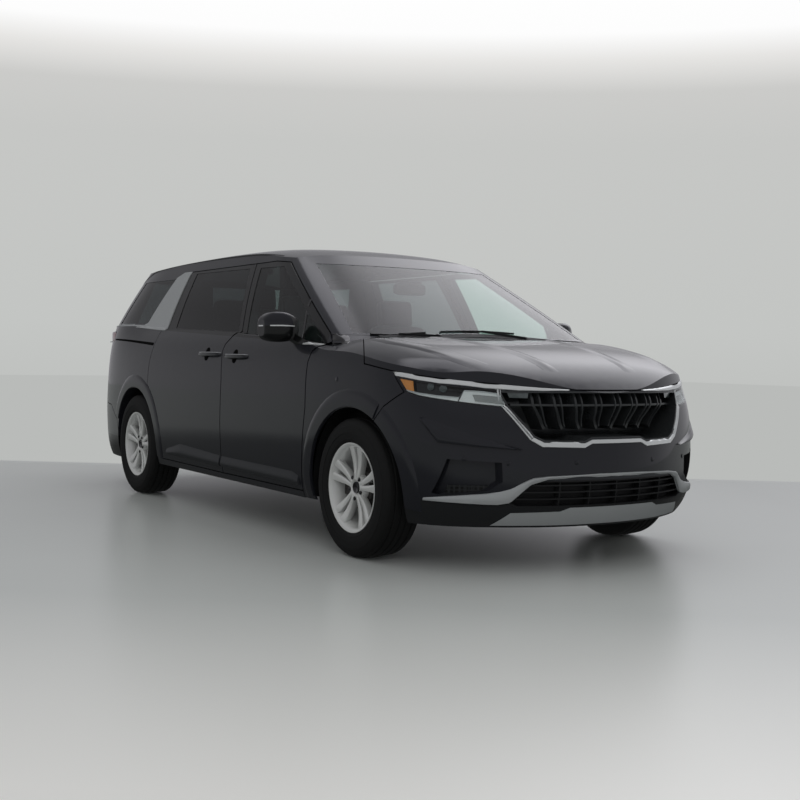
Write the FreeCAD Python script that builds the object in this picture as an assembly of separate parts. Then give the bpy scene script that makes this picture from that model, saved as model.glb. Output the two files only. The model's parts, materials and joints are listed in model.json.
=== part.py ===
import FreeCAD, Part
import math
import os

from FreeCAD import Matrix, Placement, Rotation, Vector

# Minivan. The origin lies on the ground, below the middle of its length and width.
# +X points to the nose, +Y to the vehicle's left and +Z up. Lengths are in millimetres.

os.makedirs("parts", exist_ok=True)
doc = FreeCAD.newDocument("Minivan")

# Driving dimensions
SIZES = {
    "overall_length": 5155.0,
    "overall_width": 1995.0,
    "overall_height": 1740.0,
    "wheelbase": 3090.0,
    "front_overhang": 935.0,
    "ground_clearance": 178.0,
    "tyre_diameter": 722.0,
    "tyre_width": 235.0,
    "track": 1735.0,
    "rim_radius": 232.0,
    "rim_width": 212.0,
    "bead_radius": 218.0,
    "kingpin_offset": 45.0,
    "spindle_radius": 28.0,
    "brake_disc_radius": 152.0,
    "arch_radius": 414.0,
    "wall_thickness": 62.0,
    "panel_thickness": 12.0,
    "glass_thickness": 5.0,
    "glass_recess": 3.0,
    "panel_gap": 6.0,
    "moving_gap": 6.0,
    "door_hinge_x": 1040.0,
    "door_hinge_y": 966.0,
    "lower_hinge_z": 540.0,
    "upper_hinge_z": 820.0,
    "hood_hinge_x": 1575.0,
    "hood_hinge_z": 1106.0,
    "tailgate_hinge_x": -2162.0,
    "tailgate_hinge_z": 1664.0,
    "tailgate_swing_room": 18.0,
    "flare_width": 100.0,
    "recess_depth": 50.0,
    "lens_thickness": 4.0,
    "kingpin_radius": 16.0,
    "seat_width": 500.0,
    "steering_wheel_radius": 186.0,
    "running_gap": 0.5,
}

sheet = doc.addObject("Spreadsheet::Sheet", "Sizes")
for row, (word, number) in enumerate(SIZES.items(), start=1):
    sheet.set(f"A{row}", word)
    sheet.set(f"B{row}", str(number))
    sheet.setAlias(f"B{row}", word)
doc.recompute()


def size(word):
    return float(sheet.get(word))


nose_x = size("overall_length") / 2
tail_x = -nose_x
half_width = size("overall_width") / 2
front_axle_x = nose_x - size("front_overhang")
rear_axle_x = front_axle_x - size("wheelbase")
hub_height = size("tyre_diameter") / 2
wheel_y = size("track") / 2
wall = size("wall_thickness")
skin = size("panel_thickness")
gap = size("panel_gap")
moving_gap = size("moving_gap")
nodes = []


def keep(obj, label):
    obj.Label = label
    nodes.append(obj)
    return obj


def feature(shape, label, place=Placement()):
    obj = doc.addObject("Part::Feature", label)
    obj.Shape = shape
    obj.Placement = place
    return keep(obj, label)


def mirrored(shape):
    return shape.mirror(Vector(0, 0, 0), Vector(0, 1, 0))


def pair(shape):
    return Part.makeCompound([shape, mirrored(shape)])


def box(x0, x1, y0, y1, z0, z1):
    return Part.makeBox(x1 - x0, y1 - y0, z1 - z0, Vector(x0, y0, z0))


def side_prism(points, y0, y1):
    """A closed outline in x and z, extruded from y0 to y1."""
    corners = [Vector(x, y0, z) for x, z in points]
    face = Part.Face(Part.makePolygon(corners + corners[:1]))
    return face.extrude(Vector(0, y1 - y0, 0))


def front_prism(points, x0, x1):
    """A closed outline in y and z, extruded from x0 to x1."""
    corners = [Vector(x0, y, z) for y, z in points]
    face = Part.Face(Part.makePolygon(corners + corners[:1]))
    return face.extrude(Vector(x1 - x0, 0, 0))


def grown(points, amount):
    """An outline moved out by amount, or in where it is negative."""
    corners = [Vector(a, b, 0) for a, b in points]
    wire = Part.makePolygon(corners + corners[:1])
    face = Part.Face(wire)
    if amount == 0:
        return points
    moved = face.makeOffset2D(amount, join=2)
    wire = moved.Wires[0]
    return [(v.X, v.Y) for v in wire.OrderedVertexes]


def cylinder_between(start, end, radius):
    direction = end - start
    return Part.makeCylinder(radius, direction.Length, start, direction)


# Outer form

# Plan outline of the nose and tail: distance in from the end, and half width there.
NOSE_PLAN = [(0, 0), (11, 182), (42, 345), (90, 485), (150, 615), (232, 745), (318, 838),
             (430, 907), (590, 957), (830, 982), (1180, 994)]
TAIL_PLAN = [(1080, 991), (725, 975), (455, 946), (285, 905), (178, 850), (108, 765),
             (62, 640), (32, 480), (12, 300), (2, 140), (0, 0)]
SIDE_PLAN = [(900, 996), (200, 996), (-500, 996), (-1100, 995)]

# Height, nose set in, tail set in, side set in
LOWER_LEVELS = [(0, -110, 140, 75), (68, -55, 72, 46), (150, -14, 26, 22), (272, 0, 5, 8),
                (422, -10, 0, 0), (572, -30, 10, 0), (722, -85, 28, 4), (822, -125, 42, 16),
                (922, -170, 52, 46), (1002, -215, 62, 84), (1100, -270, 100, 140)]


def blend(value, start, end):
    share = max(0.0, min(1.0, (value - start) / (end - start)))
    return share * share * (3 - 2 * share)


def moved_in(points, amount):
    """A closed plan outline moved in square to itself."""
    count = len(points)
    result = []
    for index, point in enumerate(points):
        along = points[(index + 1) % count] - points[index - 1]
        along.normalize()
        outward = Vector(along.y, -along.x, 0)
        if outward.dot(Vector(point.x * 0.3, point.y, 0)) < 0:
            outward = outward * -1
        result.append(point - outward * amount)
    return result


def lower_outline(level, inset):
    height, nose_in, tail_in, side_in = level
    z = size("ground_clearance") + height
    ends = [(nose_x - a, y) for a, y in NOSE_PLAN]
    ends += SIDE_PLAN
    ends += [(tail_x + a, y) for a, y in TAIL_PLAN]
    half = []
    for x, y in ends:
        side_share = 1 - 0.5 * blend(-x, 1300, 2200)
        scale = (half_width - side_in * side_share) / half_width
        if x > 0:
            x += nose_in * blend(x, 900, nose_x)
        else:
            x += tail_in * blend(-x, 1100, -tail_x)
        half.append(Vector(x, y * scale * half_width / 997.5, z))
    full = half + [Vector(p.x, -p.y, p.z) for p in half[-2:0:-1]]
    return moved_in(full, inset)


def share_along(points):
    count = len(points)
    lengths = [0.0]
    for index in range(count):
        step = (points[(index + 1) % count] - points[index]).Length
        lengths.append(lengths[-1] + step)
    return [value / lengths[-1] for value in lengths]


def ring_loft(outlines):
    """A smooth solid through closed outlines that have matching points."""
    shares = share_along(outlines[len(outlines) // 2])
    wires = []
    for points in outlines:
        curve = Part.BSplineCurve()
        curve.interpolate(Points=points, PeriodicFlag=True, Parameters=shares)
        wires.append(Part.Wire([curve.toShape()]))
    return Part.makeLoft(wires, True, False, False, 5)


def surface_block(rows, height):
    """The space above a smooth surface through rows of points."""
    surface = Part.BSplineSurface()
    surface.interpolate(rows)
    return surface.toShape().extrude(Vector(0, 0, height))


# Hood and belt: x, then the height at each of these half widths
DECK_WIDTHS = [0, 300, 560, 700, 790, 860, 925, 990, 1060]
DECK = [
    (-2700, [1196, 1196, 1194, 1190, 1184, 1178, 1170, 1160, 1150]),
    (-2440, [1238, 1238, 1236, 1234, 1228, 1220, 1210, 1196, 1180]),
    (-2100, [1240, 1240, 1240, 1238, 1236, 1232, 1222, 1206, 1186]),
    (-1600, [1222] * 9),
    (-1200, [1202] * 9),
    (-400, [1183] * 9),
    (400, [1158] * 9),
    (1000, [1124] * 9),
    (1300, [1150, 1150, 1146, 1138, 1126, 1112, 1088, 1054, 1010]),
    (1500, [1152, 1150, 1146, 1140, 1130, 1112, 1082, 1040, 985]),
    (1750, [1130, 1128, 1122, 1114, 1102, 1082, 1052, 1008, 950]),
    (1950, [1104, 1102, 1092, 1080, 1062, 1038, 1004, 958, 900]),
    (2100, [1076, 1072, 1060, 1042, 1016, 984, 944, 894, 836]),
    (2220, [1044, 1040, 1022, 994, 954, 912, 864, 812, 752]),
    (2330, [1005, 999, 975, 936, 882, 832, 782, 730, 672]),
    (2420, [952, 944, 912, 866, 806, 752, 700, 648, 590]),
    (2500, [880, 870, 832, 780, 716, 660, 606, 552, 494]),
    (2620, [740, 728, 686, 630, 562, 504, 448, 392, 334]),
]


def deck_row(x, heights, inset):
    """Points across the hood and belt at one place along the vehicle."""
    half = [(width, height - inset) for width, height in zip(DECK_WIDTHS, heights)]
    return [Vector(x, -w, z) for w, z in half[:0:-1]] + [Vector(x, w, z) for w, z in half]


def deck_block(inset):
    rows = []
    for x, heights in DECK:
        if x > 1300:
            x += (nose_x - 2577.5) * blend(x, 1300, 2577.5)
        rows.append(deck_row(x, heights, inset))
    return surface_block(rows, 1200)


# Roof: share below the top of the vehicle at each half width
ROOF_WIDTHS = [0, 300, 520, 640, 700, 750, 800, 860]
ROOF_DROPS = [0, 6, 22, 42, 58, 84, 130, 210]
ROOF_LINE = [(1100, 250), (750, 150), (600, 96), (450, 58), (250, 27), (0, 8), (-400, 0),
             (-1000, 5), (-1500, 18), (-1900, 40), (-2150, 62), (-2350, 88), (-2600, 130)]


def roof_block(inset):
    rows = []
    for x, drop in ROOF_LINE:
        top = size("overall_height") - drop - inset
        row = [Vector(x, -w, top - d) for w, d in zip(ROOF_WIDTHS[:0:-1], ROOF_DROPS[:0:-1])]
        row += [Vector(x, w, top - d) for w, d in zip(ROOF_WIDTHS, ROOF_DROPS)]
        rows.append(row)
    return surface_block(rows, 900)


# Greenhouse plan at the belt and at the roof, from the windscreen's middle to the tail's
BELT_HEIGHT = 1150
RAIL_HEIGHT = 1600
BELT_PLAN = [(1492, 0), (1484, 220), (1458, 450), (1414, 660), (1368, 806), (1318, 872),
             (1240, 898), (1000, 903), (500, 904), (0, 904), (-600, 904), (-1200, 902),
             (-1700, 897), (-2050, 889), (-2270, 866), (-2395, 822), (-2442, 740),
             (-2458, 580), (-2464, 360), (-2466, 170), (-2467, 0)]
RAIL_PLAN = [(668, 0), (662, 170), (642, 350), (606, 510), (560, 628), (520, 690),
             (440, 726), (250, 738), (0, 741), (-300, 742), (-700, 742), (-1100, 741),
             (-1450, 738), (-1700, 733), (-1900, 716), (-2040, 684), (-2150, 620),
             (-2230, 500), (-2280, 310), (-2300, 150), (-2306, 0)]
GREEN_BULGE = 10


def green_outline(z, inset):
    share = (z - BELT_HEIGHT) / (RAIL_HEIGHT - BELT_HEIGHT)
    bulge = GREEN_BULGE * 4 * share * (1 - share)
    half = []
    for low, high in zip(BELT_PLAN, RAIL_PLAN):
        half.append(Vector(low[0] + (high[0] - low[0]) * share,
                           (low[1] + (high[1] - low[1]) * share) * half_width / 997.5, z))
    full = half + [Vector(p.x, -p.y, p.z) for p in half[-2:0:-1]]
    return moved_in(full, inset - bulge)


def lower_form(inset):
    outlines = [lower_outline(level, inset) for level in LOWER_LEVELS]
    return ring_loft(outlines).cut(deck_block(inset))


def green_form(inset):
    levels = (1105 - 1.5 * inset, 1200, 1300, 1400, 1500, 1600, 1780)
    outlines = [green_outline(z, inset) for z in levels]
    return ring_loft(outlines).cut(roof_block(inset))


def outer_form(inset):
    return lower_form(inset).fuse(green_form(inset))


outer = outer_form(0)
wall_inner = outer_form(wall)
skin_inner = outer_form(skin)
recess_form = outer_form(size("recess_depth"))
lens_inner = outer_form(size("lens_thickness"))
wall_shell = outer.cut(wall_inner)
bar_shell = skin_inner.cut(recess_form)
glass_outer = green_form(size("glass_recess"))
glass_inner = green_form(size("glass_recess") + size("glass_thickness"))
glass_shell = glass_outer.cut(glass_inner)

FAR = 1300

# Panel outlines seen from the side, in x and z
SILL_BOTTOM = 250
DOOR_BOTTOM = 292
FRONT_DOOR = [(64, DOOR_BOTTOM), (68, 620), (72, 880), (56, 980), (32, 1050), (40, 1090),
              (104, 1148), (170, 1172), (30, 1606), (300, 1608), (462, 1594), (1256, 1156),
              (1300, 1112), (1236, 1092), (1186, 1062), (1166, 1004), (1170, 755), (1140, 549),
              (1110, DOOR_BOTTOM)]


def arc_points(centre_x, centre_z, radius, start, end, count):
    points = []
    for index in range(count + 1):
        angle = math.radians(start + (end - start) * index / count)
        points.append((centre_x + radius * math.cos(angle), centre_z + radius * math.sin(angle)))
    return points


flare_radius = size("arch_radius") + size("flare_width")
SLIDING_DOOR = [(55, DOOR_BOTTOM), (59, 620), (63, 880), (47, 980), (23, 1050), (31, 1096),
                (97, 1155), (159, 1177), (21, 1606), (-1007, 1602), (-1150, 1195),
                (-1160, 1100)]
SLIDING_DOOR += arc_points(rear_axle_x, hub_height, flare_radius, 60, -7, 8)

FRONT_GLASS = [(236, 1160), (109, 1577), (428, 1570), (1206, 1132), (1190, 1112)]
SLIDING_GLASS = [(-927, 1204), (-901, 1588), (-40, 1580), (118, 1172)]
QUARTER_GLASS = [(-2160, 1246), (-1504, 1242), (-1250, 1564), (-1921, 1565)]
WINDSCREEN = [(-806, 1160), (806, 1160), (622, 1586), (-622, 1586)]
REAR_GLASS = [(-640, 1262), (640, 1262), (570, 1580), (-570, 1580)]

HOOD_SHUT = [(1400, 1030), (1757, 1000), (1958, 971), (2110, 952), (2192, 941), (2330, 922),
             (2463, 899), (2700, 850)]
HOOD_PLAN = [(1494, 0), (1493, 500), (1492, 760), (1470, 808), (1714, 949), (1790, 990),
             (1830, FAR), (2800, FAR), (2800, 0)]


def plan_prism(points, z0, z1):
    """A closed outline in x and y, extruded from z0 to z1."""
    corners = [Vector(x, y, z0) for x, y in points]
    face = Part.Face(Part.makePolygon(corners + corners[:1]))
    return face.extrude(Vector(0, 0, z1 - z0))


def hood_region(room):
    """The space above the hood's shut line, grown by room."""
    side = [(x, z - room) for x, z in HOOD_SHUT] + [(2800, 1500), (1400, 1500)]
    plan = [(x - room, y + room * 0.4) for x, y in HOOD_PLAN]
    plan = plan[1:-1] + [(x, -y) for x, y in plan[-2:0:-1]]
    return side_prism(side, -FAR, FAR).common(plan_prism(plan, 800, 1500))


FENDER = [(1116, SILL_BOTTOM), (1116, DOOR_BOTTOM), (1146, 549), (1176, 755), (1172, 1002),
          (1191, 1055), (1238, 1084), (1310, 1106), (1314, 1152), (1900, 1152), (1980, 940),
          (2046, 867), (1923, 791), (1840, 706), (1500, 500), (1500, SILL_BOTTOM)]
HEADLAMP = [(1990, 940), (2055, 868), (2120, 850), (2407, 804), (2420, 884), (2330, 893),
            (2192, 912), (2110, 924)]
GRILLE = [(-216, 886), (-592, 884), (-566, 806), (-462, 668), (-413, 644), (-201, 640),
          (-159, 658), (159, 658), (201, 640), (413, 644), (462, 668), (566, 806),
          (592, 884), (216, 886)]
INTAKE = [(-579, 351), (-470, 460), (470, 460), (579, 351), (530, 330), (-530, 330)]
SKID = [(-615, 236), (-552, 302), (-320, 308), (-272, 326), (272, 326), (320, 308),
        (552, 302), (615, 236)]
FOG_RECESS = [(-826, 566), (-872, 386), (-830, 374), (-664, 400), (-596, 450), (-600, 552)]
TAIL_LAMP_LOW = 1112
TAIL_LAMP_HIGH = 1188
TAIL_LAMP_FRONT = -2110
TAILGATE = [(-690, 640), (-735, 760), (-742, 1180), (-668, 1260), (-590, 1640), (-560, 1800),
            (560, 1800), (590, 1640), (668, 1260), (742, 1180), (735, 760), (690, 640)]
REAR_BUMPER = [(-1880, 520), (-2050, 620), (-2800, 660), (-2800, 232), (-1790, 232)]


def both_sides(points, room, inner=300):
    return pair(side_prism(grown(points, room), inner, FAR))


front_space = box(1112, 2800, -FAR, FAR, 0, 1151)
tailgate_region = front_prism(TAILGATE, -2800, size("tailgate_hinge_x") - moving_gap)
# The roof ends far enough ahead of the hinges for the crowned edge of the open tailgate
tailgate_room = front_prism(grown(TAILGATE, moving_gap), -2800,
                            size("tailgate_hinge_x") + size("tailgate_swing_room"))
rear_bumper_region = side_prism(REAR_BUMPER, -FAR, FAR)
rear_bumper_room = side_prism(grown(REAR_BUMPER, gap), -FAR, FAR)


def arch(axle_x, radius, inner):
    return pair(cylinder_between(Vector(axle_x, inner, hub_height), Vector(axle_x, FAR, hub_height), radius))


front_arch = arch(front_axle_x, size("arch_radius"), 500)
rear_arch = arch(rear_axle_x, size("arch_radius"), 560)
below_sill = box(-2900, 2900, -FAR, FAR, -100, SILL_BOTTOM)
panel_shell = outer.cut(skin_inner)
windscreen_prism = front_prism(WINDSCREEN, 300, 1600)
rear_glass_prism = front_prism(REAR_GLASS, -2800, -1950)
hood_room = hood_region(moving_gap)


def lamp_band(room):
    """The tail lamps' band in the outer skin across the whole tail, grown by room."""
    return outer.cut(skin_inner).common(
        box(-2800, TAIL_LAMP_FRONT + room, -FAR, FAR, TAIL_LAMP_LOW - room, TAIL_LAMP_HIGH + room))


body = wall_shell.cut([both_sides(FRONT_DOOR, moving_gap, 640), both_sides(SLIDING_DOOR, gap, 640),
                        front_space, hood_room, tailgate_room, rear_bumper_room, rear_arch,
                        below_sill, both_sides(QUARTER_GLASS, 0), windscreen_prism,
                        lamp_band(size("running_gap"))])

quarter = glass_shell.common(side_prism(QUARTER_GLASS, 300, FAR))
feature(pair(quarter), "quarter_glass")
feature(glass_shell.common(windscreen_prism), "windscreen")


# Doors
def door_panel(outline, window):
    panel = wall_shell.common(side_prism(outline, 640, FAR))
    return panel.cut([side_prism(window, 300, FAR), rear_arch])


front_glass = glass_shell.common(side_prism(FRONT_GLASS, 300, FAR))
feature(front_glass, "front_door_glass_left")
feature(mirrored(front_glass), "front_door_glass_right")
sliding_door = door_panel(SLIDING_DOOR, SLIDING_GLASS)
# Roller arms that carry the sliding door on the floor's edge
roller_arms = [box(x, x + 40, 880, 945, 302, 314) for x in (-840, -120)]
sliding_door = sliding_door.fuse(roller_arms)
feature(pair(sliding_door), "sliding_doors")
sliding_glass = glass_shell.common(side_prism(SLIDING_GLASS, 300, FAR))
feature(pair(sliding_glass), "sliding_door_glass")

# Front panels
grille_prism = front_prism(GRILLE, 2200, 2800)
intake_prism = front_prism(INTAKE, 2200, 2800)
skid_prism = front_prism(SKID, 2200, 2800)
lamp_prism = side_prism(HEADLAMP, 400, FAR)
fog_prism = front_prism(FOG_RECESS, 2100, 2800)
hood = panel_shell.common(hood_region(0))
fender_prism = side_prism(grown(FENDER, -gap / 2), 300, FAR)
fender = panel_shell.common(fender_prism).cut([hood_room, front_arch])
feature(pair(fender), "fenders")
bumper_space = box(1800, 2800, -FAR, FAR, 226, 1000)
fog_prisms = pair(mirrored(fog_prism))
fog_room = pair(mirrored(front_prism(grown(FOG_RECESS, -8), 2100, 2800)))
bumper = wall_shell.common(bumper_space).cut(skin_inner.common(bumper_space).cut(fog_prisms))
bumper = bumper.cut([hood_room, pair(side_prism(grown(FENDER, gap / 2), 300, FAR)), front_arch,
                     pair(lamp_prism), grille_prism, intake_prism, skid_prism,
                     fog_room.cut(recess_form)])
feature(bumper, "front_bumper")
lens = outer.cut(lens_inner).common(lamp_prism).cut(grille_prism)
feature(pair(lens), "headlamps")
bowl_prism = side_prism(grown(HEADLAMP, -1), 400, FAR)
bowl_room = side_prism(grown(HEADLAMP, -5), 400, FAR).cut(recess_form)
bowl = lens_inner.cut(wall_inner).common(bowl_prism).cut([bowl_room, grille_prism])
feature(pair(bowl), "headlamp_housings")
skid = wall_shell.common(skid_prism)
feature(skid, "skid_plate")


# Lower intake: a wall round it, a back panel and slats
intake = wall_shell.common(front_prism(grown(INTAKE, -0.5), 2200, 2800))
intake = intake.cut(front_prism(grown(INTAKE, -7), 2200, 2800).cut(recess_form))
slats = [box(2200, 2800, -560, 560, z, z + 7) for z in (366, 399, 432)]
slats += [box(2200, 2800, y - 3, y + 3, 330, 462) for y in (-330, -165, 0, 165, 330)]
slats = bar_shell.common(front_prism(grown(INTAKE, -2), 2200, 2800)).common(slats[0].fuse(slats[1:]))
feature(intake.fuse(slats), "lower_grille")

# Grille: its face leans back above and below the bar. Half width and place along x at the bar,
# then height and distance back from that line.
FACE_PLAN = [(0, 2524), (75, 2522), (148, 2518), (210, 2510), (273, 2499), (330, 2488),
             (385, 2471), (450, 2446), (520, 2416), (600, 2372), (660, 2330)]
FACE_LEAN = [(600, 96), (660, 82), (718, 62), (770, 44), (818, 28), (852, 38), (900, 58), (940, 80)]


def face_block(front, back):
    """The space between the grille's face moved back by front and by back."""
    rows = []
    for z, lean in FACE_LEAN:
        half = [Vector(x - lean - front, y, z) for y, x in FACE_PLAN]
        rows.append([Vector(p.x, -p.y, p.z) for p in half[:0:-1]] + half)
    surface = Part.BSplineSurface()
    surface.interpolate(rows)
    return surface.toShape().extrude(Vector(front - back, 0, 0))


# Fin pairs: half width of each pair's middle at the bar and at the bottom
FIN_PAIRS = [(64, 50), (186, 158), (303, 256), (411, 354)]
FIN_SPREAD = 18
BAR_Z = 818
duct = outer.common(front_prism(grown(GRILLE, -0.5), 2210, 2800))
duct = duct.cut(front_prism(grown(GRILLE, -8), 2210, 2800))
fins = [box(2200, 2800, -530, 530, BAR_Z - 5, BAR_Z + 5).common(face_block(3, 30))]
fin_space = face_block(0, 98)
for top, low in FIN_PAIRS:
    outer_fin = [(top + FIN_SPREAD - 6, 890), (top + FIN_SPREAD - 6, BAR_Z),
                 (low + FIN_SPREAD - 5, 748), (low - 8, 706), (low + 2, 696),
                 (low + FIN_SPREAD + 9, 744), (top + FIN_SPREAD + 6, BAR_Z),
                 (top + FIN_SPREAD + 6, 890)]
    inner_fin = [(top - FIN_SPREAD - 4, 890), (top - FIN_SPREAD - 4, BAR_Z), (low - 21, 712),
                 (low - 13, 712), (top - FIN_SPREAD + 4, BAR_Z), (top - FIN_SPREAD + 4, 890)]
    for points in (outer_fin, inner_fin):
        fin = front_prism(points, 2200, 2800).common(fin_space)
        fins += [fin, mirrored(fin)]
grille_back = face_block(96, 106).common(front_prism(grown(GRILLE, -4), 2100, 2800))
fins = [fin.common(front_prism(grown(GRILLE, -4), 2100, 2800)) for fin in fins]
feature(duct.fuse([grille_back] + fins), "grille")

# Tail panels
rear_bumper = wall_shell.common(rear_bumper_region).cut([rear_arch, tailgate_room])
feature(rear_bumper, "rear_bumper")
tailgate = wall_shell.common(tailgate_region).cut([rear_glass_prism, rear_bumper_room,
                                                   lamp_band(size("running_gap"))])


def tailgate_hinges(body_part, gate):
    """Two hinges at the rear edge of the roof, with their pins on the body."""
    hx = size("tailgate_hinge_x")
    hz = size("tailgate_hinge_z")
    along = Vector(0, 1, 0)
    for side in (1, -1):
        y = side * 400
        pins = [Part.makeCylinder(4, 56, Vector(hx, y - 28, hz), along)]
        for start in (y - 28, y + 14):
            pins.append(Part.makeCylinder(8, 14, Vector(hx, start, hz), along))
            pins.append(box(hx, hx + size("tailgate_swing_room") + 20, start, start + 14, hz - 8, hz))
        body_part = body_part.fuse(pins)
        notch = box(hx - 14, hx, y - 34, y + 34, hz - 80, hz + 40)
        eye = Part.makeCylinder(8, 24, Vector(hx, y - 12, hz), along)
        strap = box(hx - 26, hx, y - 12, y + 12, hz - 8, hz)
        bore = Part.makeCylinder(4 + size("running_gap"), 24, Vector(hx, y - 12, hz), along)
        gate = gate.cut(notch).fuse([eye, strap]).cut(bore)
    return body_part, gate


body, tailgate = tailgate_hinges(body, tailgate)
feature(body, "body_shell")
feature(tailgate, "tailgate")
feature(glass_shell.common(rear_glass_prism), "tailgate_glass")
lamps = lamp_band(0)
feature(lamps.cut(tailgate_room), "tail_lamps")
feature(lamps.common(tailgate_region), "tailgate_lamp")


# Hinge pocket in each front door, ahead of its thick inner part
def door_hinges(door):
    """The left front door with its hinge pocket and hinge straps, and the body's brackets."""
    hx = size("door_hinge_x")
    hy = size("door_hinge_y")
    pocket = skin_inner.common(box(hx - 42, 1300, 300, FAR, 200, 1062))
    door = door.cut(pocket)
    brackets = []
    straps = []
    for z in size("lower_hinge_z"), size("upper_hinge_z"):
        eye = Part.makeCylinder(9, 26, Vector(hx, hy, z))
        arm = box(hx - 60, hx, hy - 9, hy + 1, z, z + 26)
        bore = Part.makeCylinder(5 + size("running_gap"), 26, Vector(hx, hy, z))
        straps.append(eye.fuse(arm).cut(bore))
        pin = Part.makeCylinder(5, 56, Vector(hx, hy, z - 14))
        low = box(hx - 9, hx + 9, 862, hy, z - 14, z - 1)
        high = box(hx - 9, hx + 9, 862, hy, z + 27, z + 42)
        ends = [Part.makeCylinder(9, 13, Vector(hx, hy, z - 14)),
                Part.makeCylinder(9, 15, Vector(hx, hy, z + 27))]
        brackets.append(pin.fuse([low, high] + ends))
    return door.fuse(straps), brackets


front_door, door_brackets = door_hinges(door_panel(FRONT_DOOR, FRONT_GLASS))
feature(front_door, "front_door_left")
feature(mirrored(front_door), "front_door_right")


# Floor, firewall, rails and wheel houses
def wheel_house(axle_x, inner, outer_y, clip):
    centre = Vector(axle_x, inner, hub_height)
    radius = size("arch_radius") + 8
    drum = cylinder_between(centre, Vector(axle_x, outer_y, hub_height), radius + 6)
    room = cylinder_between(centre + Vector(0, 6, 0), Vector(axle_x, outer_y, hub_height), radius)
    shell = drum.cut(room)
    low = box(axle_x - 600, axle_x + 600, 0, FAR, -400, SILL_BOTTOM + 30)
    window = box(axle_x - 200, axle_x + 200, 0, inner + 100, 0, hub_height + 60)
    return shell.cut([low, window]).common(clip)


house_clip = skin_inner
front_house = wheel_house(front_axle_x, 494, 960, house_clip)
rear_house = wheel_house(rear_axle_x, 560, 920, wall_inner)
front_room = arch(front_axle_x, size("arch_radius") + 14, 494)
rear_room = arch(rear_axle_x, size("arch_radius") + 14, 560)
floor = box(-1000, 1330, -FAR, FAR, 300, 316)
floor = floor.fuse([box(-1000, -984, -FAR, FAR, 316, 474), box(-2330, -984, -FAR, FAR, 458, 474),
                    box(1310, 1330, -FAR, FAR, 316, 1010)])
rocker = box(-930, 1104, 850, 980, SILL_BOTTOM + 1, 300)
floor = floor.fuse([rocker, mirrored(rocker)])
floor = floor.common(wall_inner).cut([front_room, rear_room, both_sides(FRONT_DOOR, moving_gap, 880),
                                      both_sides(SLIDING_DOOR, gap, 880)])
rails = [box(1330, 2330, 380, 450, 420, 520), box(1330, 2030, 800, 850, 905, 950),
         Part.makeCylinder(88, 150, Vector(front_axle_x, 610, 770)),
         box(size("hood_hinge_x") - 9, size("hood_hinge_x") + 9, 664, 678, 900, size("hood_hinge_z")),
         Part.makeCylinder(9, 14, Vector(size("hood_hinge_x"), 664, size("hood_hinge_z")), Vector(0, 1, 0)),
         Part.makeCylinder(5, 38, Vector(size("hood_hinge_x"), 664, size("hood_hinge_z")), Vector(0, 1, 0)),
         box(1330, 2030, 640, 850, 900, 915).cut(Part.makeCylinder(60, 50, Vector(front_axle_x, 610, 890)))]
post = box(1000, 1070, 800, 866, 300, 1035)
left_parts = [front_house, rear_house, post] + rails + door_brackets
mounts = [box(1600, 1700, 340.3, 385, 470, 518), box(1600, 1700, -385, -330.3, 470, 518)]
floor_parts = floor.fuse(left_parts + [mirrored(part) for part in left_parts] + mounts)
feature(floor_parts, "floor_pan")

cowl = box(1316, 1466, -812, 812, 1010, 1100)
feature(cowl, "cowl")


# Hood and tailgate hinges
def hood_with_hinges(panel):
    hx = size("hood_hinge_x")
    hz = size("hood_hinge_z")
    for side in (1, -1):
        y = side * 690
        eye = Part.makeCylinder(9, 20, Vector(hx, y - 10, hz), Vector(0, 1, 0))
        pad = box(hx - 10, hx + 40, y - 10, y + 10, hz, 1140).common(outer)
        bore = Part.makeCylinder(5 + size("running_gap"), 20, Vector(hx, y - 10, hz), Vector(0, 1, 0))
        panel = panel.fuse([eye, pad]).cut(bore)
    return panel


feature(hood_with_hinges(hood), "hood")


# Wheels
def ring_profile(points):
    """A closed profile in y and radius turned about the wheel's axle."""
    corners = [Vector(0, y, r) for y, r in points]
    face = Part.Face(Part.makePolygon(corners + corners[:1]))
    return face.revolve(Vector(0, 0, 0), Vector(0, 1, 0), 360)


def tyre_shape():
    half = size("tyre_width") / 2
    tread = size("tyre_diameter") / 2
    bead = size("bead_radius") + 0.3
    flange = size("rim_width") / 2 - 8.3
    rim = size("rim_radius") + 2
    profile = [(-flange, bead), (-flange, rim), (-half + 4, rim + 22), (-half, rim + 50),
               (-half + 3, tread - 42), (-half + 16, tread - 16), (-half + 40, tread - 3),
               (-half + 62, tread), (half - 62, tread), (half - 40, tread - 3),
               (half - 16, tread - 16), (half - 3, tread - 42), (half, rim + 50),
               (half - 4, rim + 22), (flange, rim), (flange, bead)]
    return ring_profile(profile)


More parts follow.
